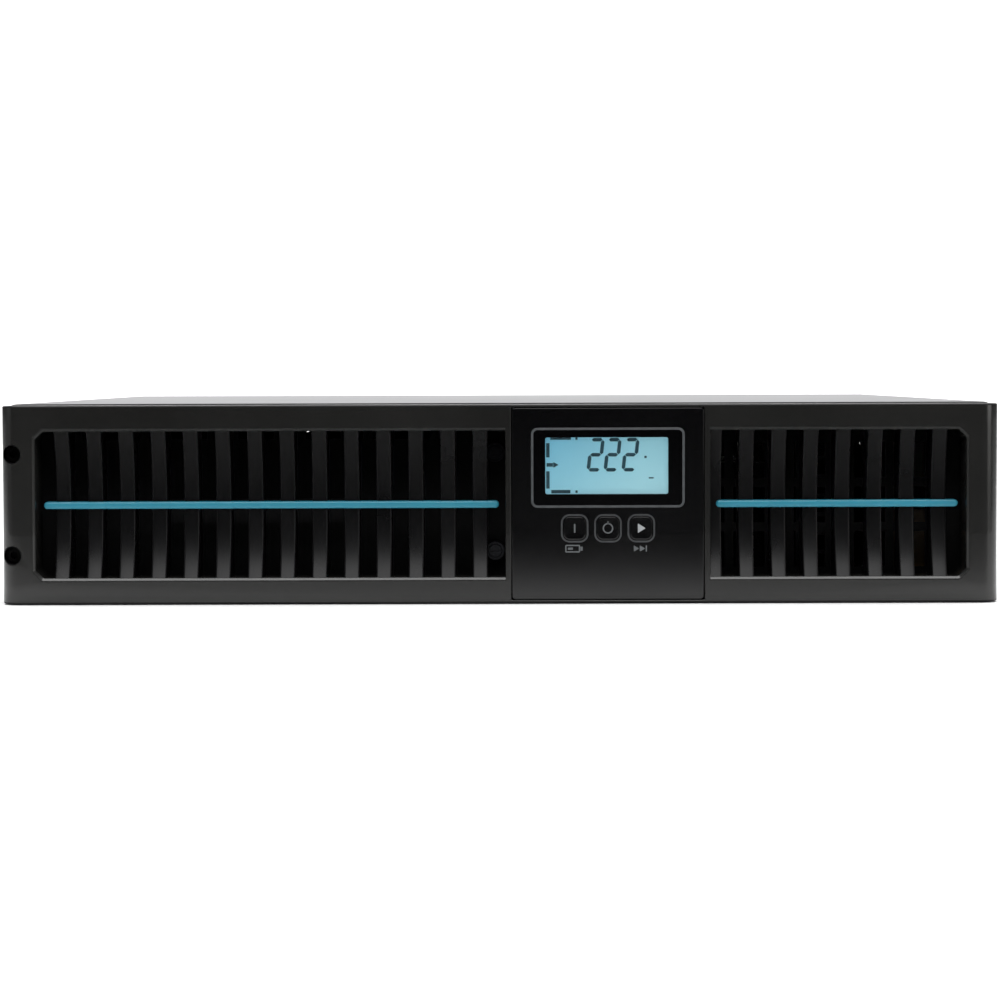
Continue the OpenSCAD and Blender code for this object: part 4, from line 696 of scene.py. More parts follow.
def border_parts():
    """Rings from the back, up the rim, over its rounded front edge and in to the clear middle,
    and down its wall: the front is grey for the width of the line and black within."""
    y, t = FRONT + 0.1, VIEW["t"]
    rim = [at(window_outline(g), y + d) for g, d in
           ((0, t), (0, 0.15), (-0.05, 0.04), (-0.15, 0), (-VIEW["line"], 0))]
    black = [at(window_outline(-VIEW["line"]), y), at(view_outline(0), y)]
    wall = [at(view_outline(0), y), at(view_outline(0), y + t), at(window_outline(0), y + t)]
    return [(*loft(*rim[:2]), 1), (*loft(*rim[1:]), 0), (*loft(*black), 1), (*loft(*wall), 1)]


# Print seen through acrylic: the ink's colour under a clear, glossy front.
grey_backprint = grained("grey_print_behind_acrylic", "#404345", "#4a4d4f", (0.3, 0.4), 3, 1, 0.0)
black_backprint = grained("black_print_behind_acrylic", "#020203", "#040405", (0.1, 0.14), 20, 8,
                          0.002, IOR=1.49, Specular_IOR_Level=0.4)
border = hold("display_window_border", border_parts(), [grey_backprint, black_backprint])
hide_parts("display_window")
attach(border, "display")

# Clear acrylic, hard-coated: a faint cool tint, and a clean reflection over the panel.
acrylic, tree, shader, place = substance("clear_hard_coated_acrylic", Roughness=0.02, IOR=1.49,
                                         Transmission_Weight=1.0)
haze = add(tree, "TexNoise", {"Vector": place, "Scale": 1000 / 15})
tint = add(tree, "Mix", {"Factor": haze.outputs[0], "A": linear("#f2f7f8"),
                         "B": linear("#f8fbfb")}, data_type="RGBA")
tree.links.new(tint.outputs[2], shader.inputs["Base Color"])
clear = [at(view_outline(-0.02), FRONT + 0.12), at(view_outline(-0.02), FRONT + 0.1 + VIEW["t"])]
pane = hold("display_window_pane", [loft(*clear), facing(clear[0][0, 1], view_outline(-0.02)),
                                    facing(clear[1][0, 1], view_outline(-0.02))], [acrylic])
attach(pane, "display")

# ---- liquid-crystal panel --------------------------------------------------------------------
# A glass sandwich with a pale blue backlight. Its segments lie in the cell as dark shapes:
# three figures, a flow line down the left side with an arrow, and a few small dashes.

LCD = {"x": (14.3, 80.5), "z": (42.85, 76.75), "front": 3, "depth": 5}
DIGIT = {"x": (42.1, 49.55, 57.4), "z": 65.4, "w": 5.0, "h": 13.2, "bar": 1.55, "lean": 0.11}


def segment(x0, z0, x1, z1, w):
    """A bar of width w between two points, with both ends cut to points: six corners, at the
    ends and half a width in from them to either side."""
    along = np.array([x1 - x0, z1 - z0], float)
    along /= np.hypot(*along)
    side, a, b = np.array([-along[1], along[0]]) * w / 2, np.array([x0, z0]), np.array([x1, z1])
    inner = along * w / 2
    return np.array([a, a + inner - side, b - inner - side, b, b - inner + side, a + inner + side])


def figure_two(x, z):
    """The five lit bars of a seven-bar 2, set out upright and then leant to the right by a
    share of their height."""
    w, h = DIGIT["w"] / 2, DIGIT["h"] / 2
    ends = [(-1, 1, 1, 1), (1, 1, 1, 0), (1, 0, -1, 0), (-1, 0, -1, -1), (-1, -1, 1, -1)]
    gap = 0.12
    made = []
    for a, b, c, d in ends:
        p, q = np.array([a * w, b * h]), np.array([c * w, d * h])
        step = (q - p) / np.hypot(*(q - p)) * gap
        (x0, z0), (x1, z1) = p + step, q - step
        made.append(segment(x0, z0, x1, z1, DIGIT["bar"]))
    return [np.column_stack([x + p[:, 0] + DIGIT["lean"] * p[:, 1], z + p[:, 1]]) for p in made]


def cell_rim(inset):
    """The panel's outline, drawn in by inset."""
    (x0, x1), (z0, z1) = LCD["x"], LCD["z"]
    return box_outline((x0 + x1) / 2, (z0 + z1) / 2, (x1 - x0) / 2 - inset,
                       (z1 - z0) / 2 - inset, 0.3, 2)


lcd_y = FRONT + LCD["front"]
cell_outline, shrunk = cell_rim(0), cell_rim(0.2)
cell = [at(shrunk, lcd_y), at(cell_outline, lcd_y + 0.2), at(cell_outline, lcd_y + LCD["depth"])]
shapes = [shape for x in DIGIT["x"] for shape in figure_two(x, DIGIT["z"])]
shapes += [bar(22.2, 31.3, 72.0, 73.2), bar(20.4, 21.9, 64.3, 70.6), bar(20.4, 21.9, 50.6, 58.2),
           bar(22.6, 31.0, 48.5, 50.0), bar(20.6, 23.4, 60.2, 61.8), pointer(24.7, 61.0, 2.4, 2.6),
           bar(63.5, 64.5, 63.9, 64.9), bar(65.4, 67.6, 54.9, 55.5), bar(33.2, 34.2, 48.7, 49.8),
           bar(33.2, 34.2, 72.0, 73.1)]

# Backlit liquid crystal: light from the edge lamp fades from the left to the right and is
# warmer low down. A fine weave of the diffuser film, 0.6 mm, is drawn so that it just shows.
backlit, tree, shader, place = substance("backlit_liquid_crystal", Roughness=0.35,
                                         Emission_Strength=0.5)
split = add(tree, "SeparateXYZ", {"Vector": place})
across = add(tree, "MapRange", {"Value": split.outputs[0], "From Min": 0.017, "From Max": 0.062})
up = add(tree, "MapRange", {"Value": split.outputs[2], "From Min": 0.047, "From Max": 0.074})
left = add(tree, "Mix", {"Factor": up.outputs[0], "A": linear("#83bccd"),
                         "B": linear("#62a5bf")}, data_type="RGBA")
right = add(tree, "Mix", {"Factor": up.outputs[0], "A": linear("#a0cdd7"),
                          "B": linear("#86b8c5")}, data_type="RGBA")
glow = add(tree, "Mix", {"Factor": across.outputs[0], "A": left.outputs[2], "B": right.outputs[2]},
           data_type="RGBA")
film = add(tree, "TexNoise", {"Vector": place, "Scale": 1000 / 0.6, "Detail": 1.0})
weave = add(tree, "MapRange", {"Value": film.outputs[0], "To Min": 0.94, "To Max": 1.06})
lit = add(tree, "VectorMath", {0: glow.outputs[2], 1: weave.outputs[0]}, operation="MULTIPLY")
tree.links.new(lit.outputs[0], shader.inputs["Base Color"])
tree.links.new(lit.outputs[0], shader.inputs["Emission Color"])
# Driven segments: the crystal turned dark, with a trace of the backlight's blue.
segment_dark = grained("driven_liquid_crystal", "#17424f", "#1d4a58", (0.3, 0.4), 2, 0.6, 0.0)
panel = hold("liquid_crystal_panel",
             [loft(*cell), facing(lcd_y, shrunk), facing(lcd_y + LCD["depth"], cell_outline)]
             + [mark(shape, lcd_y - 0.03, 1) for shape in shapes], [backlit, segment_dark])
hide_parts("lcd_panel")
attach(panel, "display")

# ---- keys ------------------------------------------------------------------------------------
# Three separate black keys fill the framed holes, each with a rounded rim, a slightly dished
# top, a retaining flange and a stem. Their marks are printed: a bar, a ring and a pointer.


def key_parts(x):
    """Rings from the stem's end over the flange and up the cap's side, round its rim, then in
    to the middle, where the top sinks by a share of one less the distance squared."""
    y = FACE_Y
    stem = [np.column_stack([x + r * np.cos(t), np.full_like(t, FRONT + d), KEY["z"] + r *
                             np.sin(t)]) for r, d in ((0.01, 6.28), (1.3, 6.28), (1.6, 6.0),
                                                      (1.6, 4.0))
            for t in [np.linspace(0, 2 * math.pi, 36, endpoint=False)]]
    flange = [at(key_outline(x, g, 8), FRONT + d) for g, d in
              ((-KEY["w"] / 2 + 1.7, 4.1), (0.75, 4.1), (0.8, 4.0), (0.8, 3.15), (0, 3.1),
               (0, 0.6))]
    turn = np.linspace(0.25, 1, 4) * math.pi / 2
    rim = [at(key_outline(x, -0.5 * (1 - math.cos(t))), y + 0.5 * (1 - math.sin(t))) for t in turn]
    top = []
    for share in (0.95, 0.85, 0.65, 0.4, 0.15, 0.01):
        ring = rim[-1].copy()
        ring[:, 0] = x + (ring[:, 0] - x) * share
        ring[:, 2] = KEY["z"] + (ring[:, 2] - KEY["z"]) * share
        ring[:, 1] = y + 0.12 * (1 - share ** 2)
        top.append(ring)
    return [loft(*flange, *rim, *top), loft(*stem),
            facing(FRONT + 4.1, flange[0][:, [0, 2]]), facing(top[-1][0, 1], top[-1][:, [0, 2]])]


def ring_outline(x, z, radius, steps=28):
    """A circle's outline."""
    t = np.linspace(0, 2 * math.pi, steps, endpoint=False)
    return np.column_stack([x + radius * np.cos(t), z + radius * np.sin(t)])


mark_y = FACE_Y + 0.01
z = KEY["z"]
KEYS = {
    "on": (KEY_X[0], [mark(bar(KEY_X[0] - 0.35, KEY_X[0] + 0.35, z - 2, z + 2, 0.3), mark_y)]),
    "off": (KEY_X[1], [mark(ring_outline(KEY_X[1], z, 2.35), mark_y, 0,
                            [ring_outline(KEY_X[1], z, 1.75)]),
                       mark(bar(KEY_X[1] - 0.3, KEY_X[1] + 0.3, z + 1.9, z + 3.1, 0.2), mark_y)]),
    "select": (KEY_X[2], [mark(pointer(KEY_X[2] + 0.2, z, 3.4, 4.2), mark_y)]),
}
# The keys' rims are polished as the face is, and the print on them is a brighter grey.
bright_ink = grained("printed_light_grey_ink", "#8d9092", "#999c9e", (0.4, 0.55), 2, 0.5, 0.003)
for word, (x, print_parts) in KEYS.items():
    cap = hold("key_" + word, key_parts(x), [piano_black])
    sign = hold("key_mark_" + word, print_parts,
                [bright_ink if word == "select" else grey_ink])
    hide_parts("button_" + word)
    for piece in (cap, sign):
        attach(piece, word + "_key")

# ---- case ------------------------------------------------------------------------------------
# The case is folded from steel sheet. The base and the bay wall are left in bare zinc coating,
# the cover, which wraps down over both sides, is powder-coated light grey, and the rear panel and
# card slot cover are black; the front plate and battery tray are black as painted shade.


def dress(material, *nodes):
    """Puts a material in the slots of CAD nodes that keep their own shape."""
    for node in nodes:
        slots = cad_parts[node].data.materials
        slots.clear()
        slots.append(material)


# Light grey powder coat: almost wholly matt, with a slight orange peel whose 1.2 mm cells
# show only near the light's edge.
grey_powder = grained("light_grey_powder_coat", "#8b8b8c", "#8d8d8e", (0.78, 0.82), 80, 1.2,
                      0.02, Specular_IOR_Level=0.0)
dress(grey_powder, "top_cover")
# Black powder coat: the same finish, deep black, on the rear panel and card slot cover. On the
# front plate and battery tray the same black is painted shade that keeps the grille's gaps black.
black_coat_and_shade = grained("black_coat_and_painted_shade", "#060607", "#0a0a0c", (0.6, 0.7), 40, 1.1, 0.02,
                       Specular_IOR_Level=0.2)
dress(black_coat_and_shade, "front_plate", "rear_panel", "card_slot_cover", "battery_tray")
# Hot-dip zinc: crystals of about 9 mm, each with its own grey and gloss, under fine rolling
# marks.
zinc, tree, shader, place = substance("zinc_coated_steel", Metallic=0.85)
crystal = add(tree, "TexVoronoi", {"Vector": place, "Scale": 1000 / 9})
level = add(tree, "RGBToBW", {"Color": crystal.outputs["Color"]})
tone = add(tree, "Mix", {"Factor": level.outputs[0], "A": linear("#8b8e91"),
                         "B": linear("#a3a6a9")}, data_type="RGBA")
gloss = add(tree, "MapRange", {"Value": level.outputs[0], "To Min": 0.34, "To Max": 0.5})
rolling = add(tree, "TexNoise", {"Vector": place, "Scale": 1000 / 1.5, "Detail": 2.0})
bump = add(tree, "Bump", {"Height": rolling.outputs[0], "Distance": 0.000008})
tree.links.new(tone.outputs[2], shader.inputs["Base Color"])
tree.links.new(gloss.outputs[0], shader.inputs["Roughness"])
tree.links.new(bump.outputs[0], shader.inputs["Normal"])
dress(zinc, "chassis_base", "battery_bay_wall")

# ---- screws ----------------------------------------------------------------------------------
# The cover is held by countersunk screws in its sides, the rear by pan heads, all with a cross
# recess. The battery tray's two thumb screws are knurled and slotted.


def turned(parts, place, angle):
    """Parts turned about the upright axis by an angle in degrees, then moved to a place: their
    own Y points along minus the angle's sine and its cosine."""
    c, s = math.cos(math.radians(angle)), math.sin(math.radians(angle))
    matrix = np.array([[c, s, 0], [-s, c, 0], [0, 0, 1]])
    return [(points @ matrix + place, *rest) for points, *rest in parts]


def cross_screw(profile, recess, deep):
    """Radii at depths turned about Y, from the tip to a flat top that has a cross recess: a
    plus of twelve corners, drawn in to 0.7 of its size at the bottom."""
    w, r = recess * 0.28, recess
    plus = np.array([(w, w), (w, r), (-w, r), (-w, w), (-r, w), (-r, -w), (-w, -w), (-w, -r),
                     (w, -r), (w, -w), (r, -w), (r, w)])
    rings = [at(ring_outline(0, 0, radius, 24), y) for radius, y in profile]
    top = profile[-1][1]
    return [loft(*rings), facing(top, rings[-1][:, [0, 2]], [plus]),
            loft(at(plus, top), at(plus * 0.7, top - deep)), facing(top - deep, plus * 0.7)]


def pan_head(radius, height, shank, length):
    """Profile of a pan-head screw whose seat lies at zero: the shank, and a head that rounds
    over to a flat top."""
    return [(0.01, -length), (shank * 0.8, -length), (shank, 0.4 - length), (shank, 0),
            (radius, 0), (radius, height * 0.35), (radius * 0.96, height * 0.62),
            (radius * 0.84, height * 0.86), (radius * 0.68, height)]


SINK_PROFILE = [(0.01, -5.6), (1.2, -5.6), (1.5, -5.2), (1.5, -1.7), (2.92, -0.15), (2.85, -0.02)]
side_parts = [part for y in (-153, 20.4, 193.8) for x, angle in ((-219, 90), (219, -90))
              for part in turned(cross_screw(SINK_PROFILE, 1.5, 1.1), (x, y, 75), angle)]
# Zinc-plated steel: bright, faintly yellow, with fine turning marks drawn at 0.5 mm.
plated = grained("zinc_plated_steel", "#9c9b94", "#b2b1aa", (0.25, 0.36), 3, 0.5, 0.004,
                 Metallic=0.9)
black_plated = grained("black_zinc_plated_steel", "#26272a", "#313235", (0.3, 0.42), 3, 0.5,
                       0.004, Metallic=0.8)
side_screws = hold("case_countersunk_screws", side_parts, [black_plated])
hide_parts("case_screws")
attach(side_screws, "chassis")

PANEL_Y, FAN_X, FAN_HOLE = 251, (-172, -90), 35.76
rear_parts = [part for x, y, z, length in ((-35, PANEL_Y, 7, 3.4), (-7, PANEL_Y, 7, 3.4),
                                           (145, 252.2, 65, 5.4), (209, 252.2, 65, 5.4))
              for part in turned(cross_screw(pan_head(3.38, 1.78, 1.45, length), 1.5, 1.0),
                                 (x, y, z), 0)]
rear_heads = hold("rear_pan_screws", rear_parts, [plated])
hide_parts("rear_screws")
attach(rear_heads, "chassis")

FAN_CORNERS = [(x + sx * FAN_HOLE, MID_Z + sz * FAN_HOLE) for x in FAN_X for sx in (-1, 1)
               for sz in (-1, 1)]
fan_heads = hold("fan_pan_screws", [
    part for x, z in FAN_CORNERS
    for part in turned(cross_screw(pan_head(3.58, 2.38, 1.9, 14.8), 1.7, 1.2), (x, 252.62, z), 0)],
    [plated])
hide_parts("fan_screws")
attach(fan_heads, "chassis")


THUMB = {"x": -2.1, "seat": -224.2, "top": -6, "slot": 0.8}


def thumb_screw(z):
    """Rings about Y from the shank's tip to the head: the knurl's radius dips by half a wave
    of 30 turns round the head; a collar stands before it, with a straight slot."""
    turn = np.linspace(0, 2 * math.pi, 180, endpoint=False)
    knurl = 0.15 * (1 - np.cos(30 * turn))
    steps = [(0.01, 7.2, 0), (1.2, 7.2, 0), (1.5, 6.8, 0), (1.5, 0, 0), (4.1, 0, 0),
             (4.38, -0.4, 1), (4.38, -4.6, 1), (4.05, -5, 0), (3, -5, 0), (2.95, -5.8, 0),
             (2.75, THUMB["top"], 0)]
    rings = [np.column_stack([THUMB["x"] + (r - k * knurl) * np.cos(turn), np.full_like(turn, y),
                              z + (r - k * knurl) * np.sin(turn)]) + (0, THUMB["seat"], 0)
             for r, y, k in steps]
    slot = box_outline(THUMB["x"], z, 1.9, 0.35, 0.1, 2)
    top = THUMB["seat"] + THUMB["top"]
    deep = round(top + THUMB["slot"], 1)
    return [loft(*rings), facing(top, rings[-1][::5, [0, 2]], [slot]),
            loft(at(slot, top), at(slot, deep)), facing(deep, slot)]


thumbs = hold("tray_thumb_screws", thumb_screw(22) + thumb_screw(66), [black_plated])
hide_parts("tray_screws")
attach(thumbs, "battery_pack")

# ---- fans ------------------------------------------------------------------------------------
# Two 80 mm fans draw air out of the rear. Each has a frame and a seven-bladed rotor moulded in
# glass-filled black polyester, and a guard of nickel-plated wire.

ROTOR = {"front": 226.3, "rear": 244.8, "cup": 17.1, "tip": 36.5, "blades": 7, "middle": 235.3}


def blade(number, rows=14, half_steps=9):
    """One blade: for each radius a thin closed section of a given chord, pitched from 46
    degrees at the cup to 27 at the tip and swept ahead, is laid round the axis: the way along
    the rim over the radius gives the angle, and the way along the axis the depth. Its two
    sides lie off a cambered middle line by a thickness that falls to the edges."""
    share = np.linspace(0, 1, rows)[:, None]
    radius = ROTOR["cup"] - 0.6 + share * (ROTOR["tip"] - ROTOR["cup"] + 0.6)
    along = np.linspace(-0.5, 0.5, half_steps)
    along = np.concatenate([along, along[::-1][1:-1]])[None, :]
    face = np.concatenate([np.ones(half_steps), -np.ones(half_steps - 2)])[None, :]
    chord, pitch = 15.5 + 4.5 * share, np.radians(46 - 19 * share)
    bow = 1.7 * (1 - 4 * along ** 2)
    off = bow + face * 0.75 * np.sqrt(np.clip(1 - 4 * along ** 2, 0, 1)) + 0 * share
    rim = chord * along * np.cos(pitch) - off * np.sin(pitch) + 5 * share ** 2
    depth = chord * along * np.sin(pitch) + off * np.cos(pitch)
    angle = rim / radius + number * 2 * math.pi / ROTOR["blades"]
    return capped(np.stack([radius * np.cos(angle), ROTOR["middle"] - 1 + depth,
                            radius * np.sin(angle)], -1))


def rotor_parts(x):
    """The cup, its rounded front corner and its open rear, the shaft, and the blades."""
    front, rear, r = ROTOR["front"], ROTOR["rear"], ROTOR["cup"]
    cup = lathe_y(0, 0, [(0, front), (r - 1.6, front), (r - 0.7, front + 0.2),
                         (r - 0.1, front + 0.9), (r, front + 1.6), (r, rear), (r - 1.5, rear),
                         (r - 1.6, front + 1.6), (0, front + 1.6)], 56)
    shaft = lathe_y(0, 0, [(0, front + 0.8), (1.5, front + 0.8), (1.5, 248.4), (1.3, 248.6),
                           (0, 248.6)], 20, 1)
    blades = [part for i in range(ROTOR["blades"]) for part in blade(i)]
    return [(part[0] + (x, 0, MID_Z), *part[1:]) for part in [cup, shaft, *blades]]


# Glass-filled polyester: satin black, with the glass fibres' faint streaks in its skin.
black_polyester = grained("glass_filled_black_polyester", "#0d0d0e", "#151516", (0.35, 0.48), 12,
                          0.5, 0.006)
for side, x in zip(("left", "right"), FAN_X):
    rotor = hold("fan_rotor_" + side, rotor_parts(x), [black_polyester, plated], angle=40)
    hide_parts("fan_rotor_" + side)
    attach(rotor, side + "_fan")
dress(black_polyester, "fan_frame_left", "fan_frame_right")
dress(plated, "fan_bearings")


GUARD = {"rings": (0.25, 0.45, 0.65, 0.85), "reach": 42.6, "ring_y": 252.86, "arm_y": 251.82,
         "eye": 2.98, "wire": 0.8}


def wire_ring(x, z, y, radius, wire=GUARD["wire"], steps=72):
    """A ring of round wire: the radius plus the wire's cosine, turned about Y, with the wire's
    sine as depth."""
    turn = np.linspace(0, 2 * math.pi, steps + 1)[:, None]
    round_wire = np.linspace(0, 2 * math.pi, 12, endpoint=False)[None, :]
    reach = radius + wire * np.cos(round_wire)
    return grid(np.stack(np.broadcast_arrays(x + reach * np.cos(turn), y + wire *
                                             np.sin(round_wire), z + reach * np.sin(turn)), -1),
                closed=True)


def wire_arm(x, z, angle, start, end, y, wire=GUARD["wire"]):
    """A straight round wire from one radius to another, along an angle in degrees."""
    way = np.array([math.cos(math.radians(angle)), 0, math.sin(math.radians(angle))])
    side = np.array([-way[2], 0, way[0]])
    t = np.linspace(0, 2 * math.pi, 12, endpoint=False)[:, None]
    ring = wire * (np.cos(t) * side + np.sin(t) * np.array([0, 1, 0])) + (x, y, z)
    return loft(ring + start * way, ring + end * way)


def guard_parts(x):
    """Four rings lie on four arms that run out to an eye round each screw; a pressed disc
    covers the middle."""
    parts = [wire_ring(x, MID_Z, GUARD["ring_y"], f * GUARD["reach"]) for f in GUARD["rings"]]
    reach = FAN_HOLE * math.sqrt(2)
    for angle in (45, 135, 225, 315):
        parts.append(wire_arm(x, MID_Z, angle, 2.5, reach - 3.1, GUARD["arm_y"]))
    for sx in (-1, 1):
        for sz in (-1, 1):
            parts.append(wire_ring(x + sx * FAN_HOLE, MID_Z + sz * FAN_HOLE, GUARD["arm_y"],
                                   GUARD["eye"], steps=28))
    parts.append(lathe_y(x, MID_Z, [(0, 251.05), (3.3, 251.05), (3.5, 251.3), (3.5, 252.2),
                                    (3.2, 252.55), (0, 252.6)], 28))
    return parts


# Nickel plate over drawn wire: warm bright grey, almost a mirror.
nickel = grained("nickel_plated_wire", "#b9b3a6", "#c9c3b6", (0.14, 0.22), 6, 0.6, 0.002,
                 Metallic=1.0)
guards = hold("fan_wire_guards", guard_parts(FAN_X[0]) + guard_parts(FAN_X[1]), [nickel])
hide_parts("fan_guards")
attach(guards, "chassis")

# ---- rear sockets ----------------------------------------------------------------------------
# The mains inlet, the two outlet blocks and the breaker are moulded in black polyester, with
# nickel-plated contacts. The small sockets below the card slot have tinned shells.

# Moulded polyester of the mains parts: flame-retardant grade, a little chalky and dull.
socket_black = grained("flame_retardant_black_polyester", "#101011", "#191a1b", (0.42, 0.55), 15,
                       0.7, 0.008)
dress(socket_black, "inlet_housing", "outlet_block_left", "outlet_block_right", "breaker_body",
      "network_ports", "battery_socket")
# Nickel-plated brass: pale warm metal, drawn smooth.
nickel_brass = grained("nickel_plated_brass", "#b8ae93", "#cabfa3", (0.2, 0.3), 4, 0.5, 0.003,
                       Metallic=1.0)
dress(nickel_brass, "inlet_pins", "outlet_contacts", "earth_stud", "board_fixings")
# Tin plate: bright, slightly clouded. Gold flash on the pins is a clear warm yellow.
tin = grained("tin_plated_steel", "#8f9092", "#a6a7a9", (0.24, 0.4), 5, 0.8, 0.003, Metallic=1.0)
gold = grained("gold_flashed_contact", "#b98a35", "#c99a45", (0.2, 0.3), 2, 0.4, 0.001,
               Metallic=1.0)
SERIAL, USB, PIN_PITCH = (185, 15.8), (150, 15.1), 2.76
PIN_PROFILE = [(0, 247), (0.5, 247), (0.5, 252.7), (0.25, 253), (0, 253)]


def closed_bar(rings):
    """A closed solid through rings of equally many points: its wall and its two flat ends."""
    ends = [facing(rings[k][0, 1], rings[k][:, [0, 2]]) for k in (0, -1)]
    return [loft(*rings), *ends]


def serial_parts():
    """A flange with a body behind it and the nine-pin shell before it, drawn as one skin:
    the shell's outline is wider at its top, and inside lies the black insert. Pins stand in
    rows of five and four, and a six-sided jack screw sits at each side."""
    x, z = SERIAL
    flange, body = box_outline(x, z, 15.5, 6.2, 1), box_outline(x, z, 9.8, 5.5, 1)
    outer, inner, lip = [
        rounded([(x - b, z - h), (x + b, z - h), (x + t, z + h), (x - t, z + h)], r)
        for t, b, h, r in ((9.4, 8.4, 4.6, 1.4), (8.6, 7.6, 3.9, 0.8), (9.2, 8.2, 4.4, 1.2))]
    parts = [facing(PANEL_Y, flange, [body]), loft(at(flange, PANEL_Y), at(flange, PANEL_Y + 1)),
             facing(PANEL_Y + 1, flange, [outer]),
             loft(at(outer, PANEL_Y + 1), at(outer, PANEL_Y + 3), at(lip, PANEL_Y + 3.2),
                  at(inner, PANEL_Y + 3.2), at(inner, PANEL_Y - 2.8)),
             facing(PANEL_Y - 2.8, inner, (), 1), loft(at(body, PANEL_Y), at(body, 235.8)),
             facing(235.8, body)]
    for row, count in ((17.2, 5), (14.4, 4)):
        for i in range(count):
            parts.append(lathe_y(x + (i - (count - 1) / 2) * PIN_PITCH, row, PIN_PROFILE, 12, 2))
    for side in (-12.5, 12.5):
        hexagon, hole = ring_outline(x + side, z, 2.7, 6), ring_outline(x + side, z, 1.1, 16)
        parts += [facing(251.5, hexagon), loft(at(hexagon, 251.5), at(hexagon, 254.75)),
                  facing(254.75, hexagon, [hole]), loft(at(hole, 254.75), at(hole, 252.6)),
                  facing(252.6, hole)]
        parts += closed_bar([at(ring_outline(x + side, z, 1.5, 16), y) for y in (244.9, 251.4)])
    return parts


def usb_parts():
    """A square shell whose opening has its two upper corners cut off, and the tongue in it."""
    x, z = USB
    shell, lip = box_outline(x, z, 6, 5.5, 0.5, 3), box_outline(x, z, 5.8, 5.3, 0.4, 3)
    gap = rounded([(x - 4.2, z - 3.9), (x + 4.2, z - 3.9), (x + 4.2, z + 2), (x + 2.6, z + 3.8),
                   (x - 2.6, z + 3.8), (x - 4.2, z + 2)], 0.3, 3)
    tongue = [at(box_outline(x, z, 2.8 - i, 1.4 - i, 0.4, 3), y) for i, y in
              ((0, 238.1), (0, 248.7), (0.2, 249))]
    return [facing(235, shell), loft(at(shell, 235), at(shell, 251.4), at(lip, 251.6)),
            facing(251.6, lip, [gap]), loft(at(gap, 251.6), at(gap, 238)), facing(238, gap, (), 1),
            *[(points, faces, 2) for points, faces, *_ in closed_bar(tongue)]]


# White polyamide of the tongue: smooth, a little translucent, so it stays soft in the dark.
white_nylon = grained("white_polyamide", "#d9d9d6", "#e2e2df", (0.3, 0.42), 3, 0.6, 0.003)
for node, parts, third in (("serial_port", serial_parts(), gold),
                           ("usb_port", usb_parts(), white_nylon)):
    port = hold("rear_" + node, parts, [tin, socket_black, third])
    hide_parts(node)
    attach(port, "chassis")
# Green polyamide of the plug-in terminal.
green_nylon = grained("green_polyamide", "#1f7a3d", "#2a8a49", (0.38, 0.5), 8, 0.6, 0.008)
dress(green_nylon, "epo_plug")

BUTTON_PROFILE = [(0, 242), (4.3, 242), (4.5, 242.3), (4.5, 253.3), (4.42, 253.75), (4.15, 254.05),
                  (3.7, 254.2), (3.1, 254.15), (2.0, 253.95), (0, 253.85)]
# White urea moulding: dense, smooth, a trace warm.
white_urea = grained("white_urea_moulding", "#dcdad4", "#e6e4de", (0.22, 0.3), 6, 1.5, 0.002)
reset = hold("breaker_reset_button", [lathe_y(-23, 66, BUTTON_PROFILE, 48)], [white_urea], angle=50)
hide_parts("breaker_button")
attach(reset, "reset_button")

# ---- battery pack ----------------------------------------------------------------------------
# Four sealed lead-acid blocks lie on their sides in the tray. Each case is a dark grey ABS tub
# with a lid welded on, so a groove runs round it near the end that carries the terminals.


BLOCK = {"w": 94, "length": 151, "height": 65, "corner": 3.5, "edge": 1.5, "z": 38.3}


def block_parts(x0, y0, lid_at_high):
    """A block as rounded Y-Z outlines carried along x: drawn in at both ends along a quarter
    circle, and stepped in at the lid's groove."""
    w, length, height, r, edge = (BLOCK[key] for key in ("w", "length", "height", "corner", "edge"))
    turn = np.linspace(0, math.pi / 2, 5)
    inset, way = edge * (1 - np.sin(turn)), edge * (1 - np.cos(turn))
    steps = [(i, d) for i, d in zip(inset, way)]
    steps += [(0, w - 13), (0.5, w - 12.6), (0.5, w - 11.8), (0, w - 11.4)]
    steps += [(i, w - d) for i, d in zip(inset[::-1], way[::-1])]
    outlines = [(box_outline(y0 + length / 2, BLOCK["z"], length / 2 - i, height / 2 - i,
                             r - i * 0.9, 5), d) for i, d in steps]
    rings = [at(o, x0 + (d if lid_at_high else w - d))[:, [1, 0, 2]] for o, d in outlines]
    ends = [facing(rings[k][0, 0], rings[k][:, 1:]) for k in (0, -1)]
    return [loft(*rings)] + [(points[:, [1, 0, 2]], faces, number)
                             for points, faces, number in ends]


# Battery ABS: dark grey, evenly dull, with light scuffs that change the gloss over 20 mm.
block_grey = grained("dark_grey_battery_abs", "#2c2e31", "#2f3134", (0.5, 0.55), 30, 1.0, 0.01)
blocks = hold("battery_blocks", [part for x0, high in ((-204.3, True), (-102.7, False))
                                 for y0 in (-218.8, -65.8) for part in block_parts(x0, y0, high)],
              [block_grey])
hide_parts("batteries")
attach(blocks, "battery_pack")
# The links are tinned strip; the plug is a red moulding with two pins.
red_nylon = grained("red_polyamide", "#8a1f1a", "#9a2a22", (0.35, 0.48), 10, 0.7, 0.008)
dress(tin, "battery_links")
dress(red_nylon, "battery_plug", "battery_cables")

# ---- electronics -----------------------------------------------------------------------------
# The boards and what stands on them are seen only through the slots behind the right grille
# and when the bezel is off, so they keep their CAD shapes and get their real finishes.

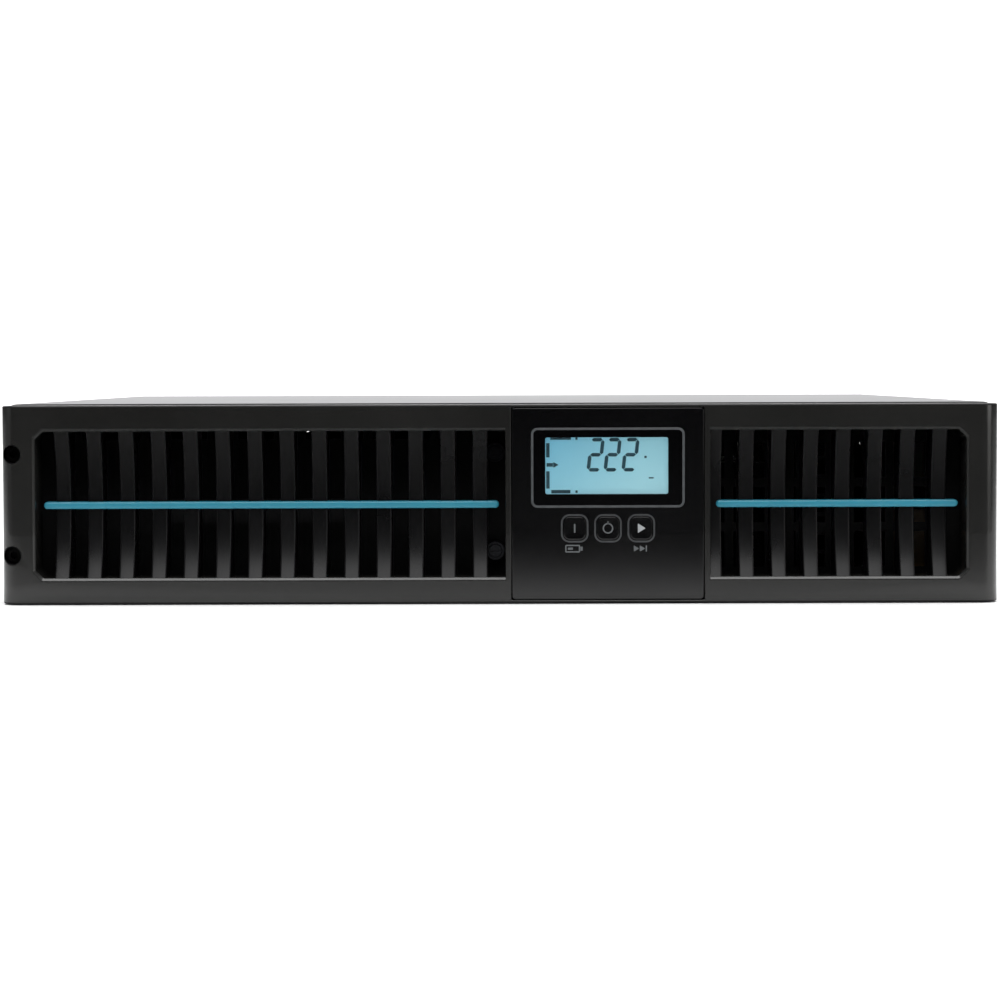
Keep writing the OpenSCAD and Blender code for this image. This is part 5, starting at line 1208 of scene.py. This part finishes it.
# Solder mask over copper: traces 1.6 mm apart show where a wave meets patches of noise, and
# stand a few hundredths of a millimetre proud.
board_mask, tree, shader, place = substance("green_solder_mask_board", Roughness=0.35)
lanes = add(tree, "TexWave", {"Vector": place, "Scale": 2 * math.pi / (20 * 0.0016)})
patches = add(tree, "TexNoise", {"Vector": place, "Scale": 1000 / 18, "Detail": 1.0})
chosen = add(tree, "Math", {0: patches.outputs[0], 1: 0.5}, operation="GREATER_THAN")
trace = add(tree, "Math", {0: lanes.outputs[1], 1: chosen.outputs[0]}, operation="MULTIPLY")
tone = add(tree, "Mix", {"Factor": trace.outputs[0], "A": linear("#0b2e1b"),
                         "B": linear("#155033")}, data_type="RGBA")
bump = add(tree, "Bump", {"Height": trace.outputs[0], "Distance": 0.00003})
tree.links.new(tone.outputs[2], shader.inputs["Base Color"])
tree.links.new(bump.outputs[0], shader.inputs["Normal"])
dress(board_mask, "main_board", "control_card", "filter_board", "display_board")
# Black-anodised extrusion: fine lines from the die, drawn at 0.6 mm.
anodised = grained("black_anodised_aluminium", "#0e0e10", "#151517", (0.35, 0.48), 25, 0.6, 0.005,
                   Metallic=0.5)
dress(anodised, "heatsinks")
moulded_epoxy = grained("black_epoxy_moulding", "#0c0c0d", "#131314", (0.4, 0.5), 5, 0.4, 0.004)
dress(moulded_epoxy, "power_transistors", "relays", "display_housing")
sleeve = grained("black_capacitor_sleeve", "#0b0c10", "#12131a", (0.22, 0.32), 12, 2.0, 0.006)
dress(sleeve, "bulk_capacitors")
potting = grained("ochre_epoxy_coating", "#5b4620", "#6a5228", (0.3, 0.42), 7, 1.0, 0.01)
dress(potting, "film_capacitors", "transformer_winding")
ferrite = grained("sintered_ferrite", "#202123", "#2b2c2e", (0.5, 0.65), 9, 0.5, 0.01)
dress(ferrite, "choke_cores", "transformer_core")
# Enamelled copper wire laid side by side: a wave of 1.2 mm gives the turns.
winding, tree, shader, place = substance("enamelled_copper_winding", Metallic=0.8, Roughness=0.3)
turns = add(tree, "TexWave", {"Vector": place, "Scale": 2 * math.pi / (20 * 0.0012)},
            bands_direction="DIAGONAL")
tone = add(tree, "Mix", {"Factor": turns.outputs[1], "A": linear("#4a2412"),
                         "B": linear("#9a552c")}, data_type="RGBA")
bump = add(tree, "Bump", {"Height": turns.outputs[1], "Distance": 0.0003})
tree.links.new(tone.outputs[2], shader.inputs["Base Color"])
tree.links.new(bump.outputs[0], shader.inputs["Normal"])
dress(winding, "choke_windings", "filter_choke")
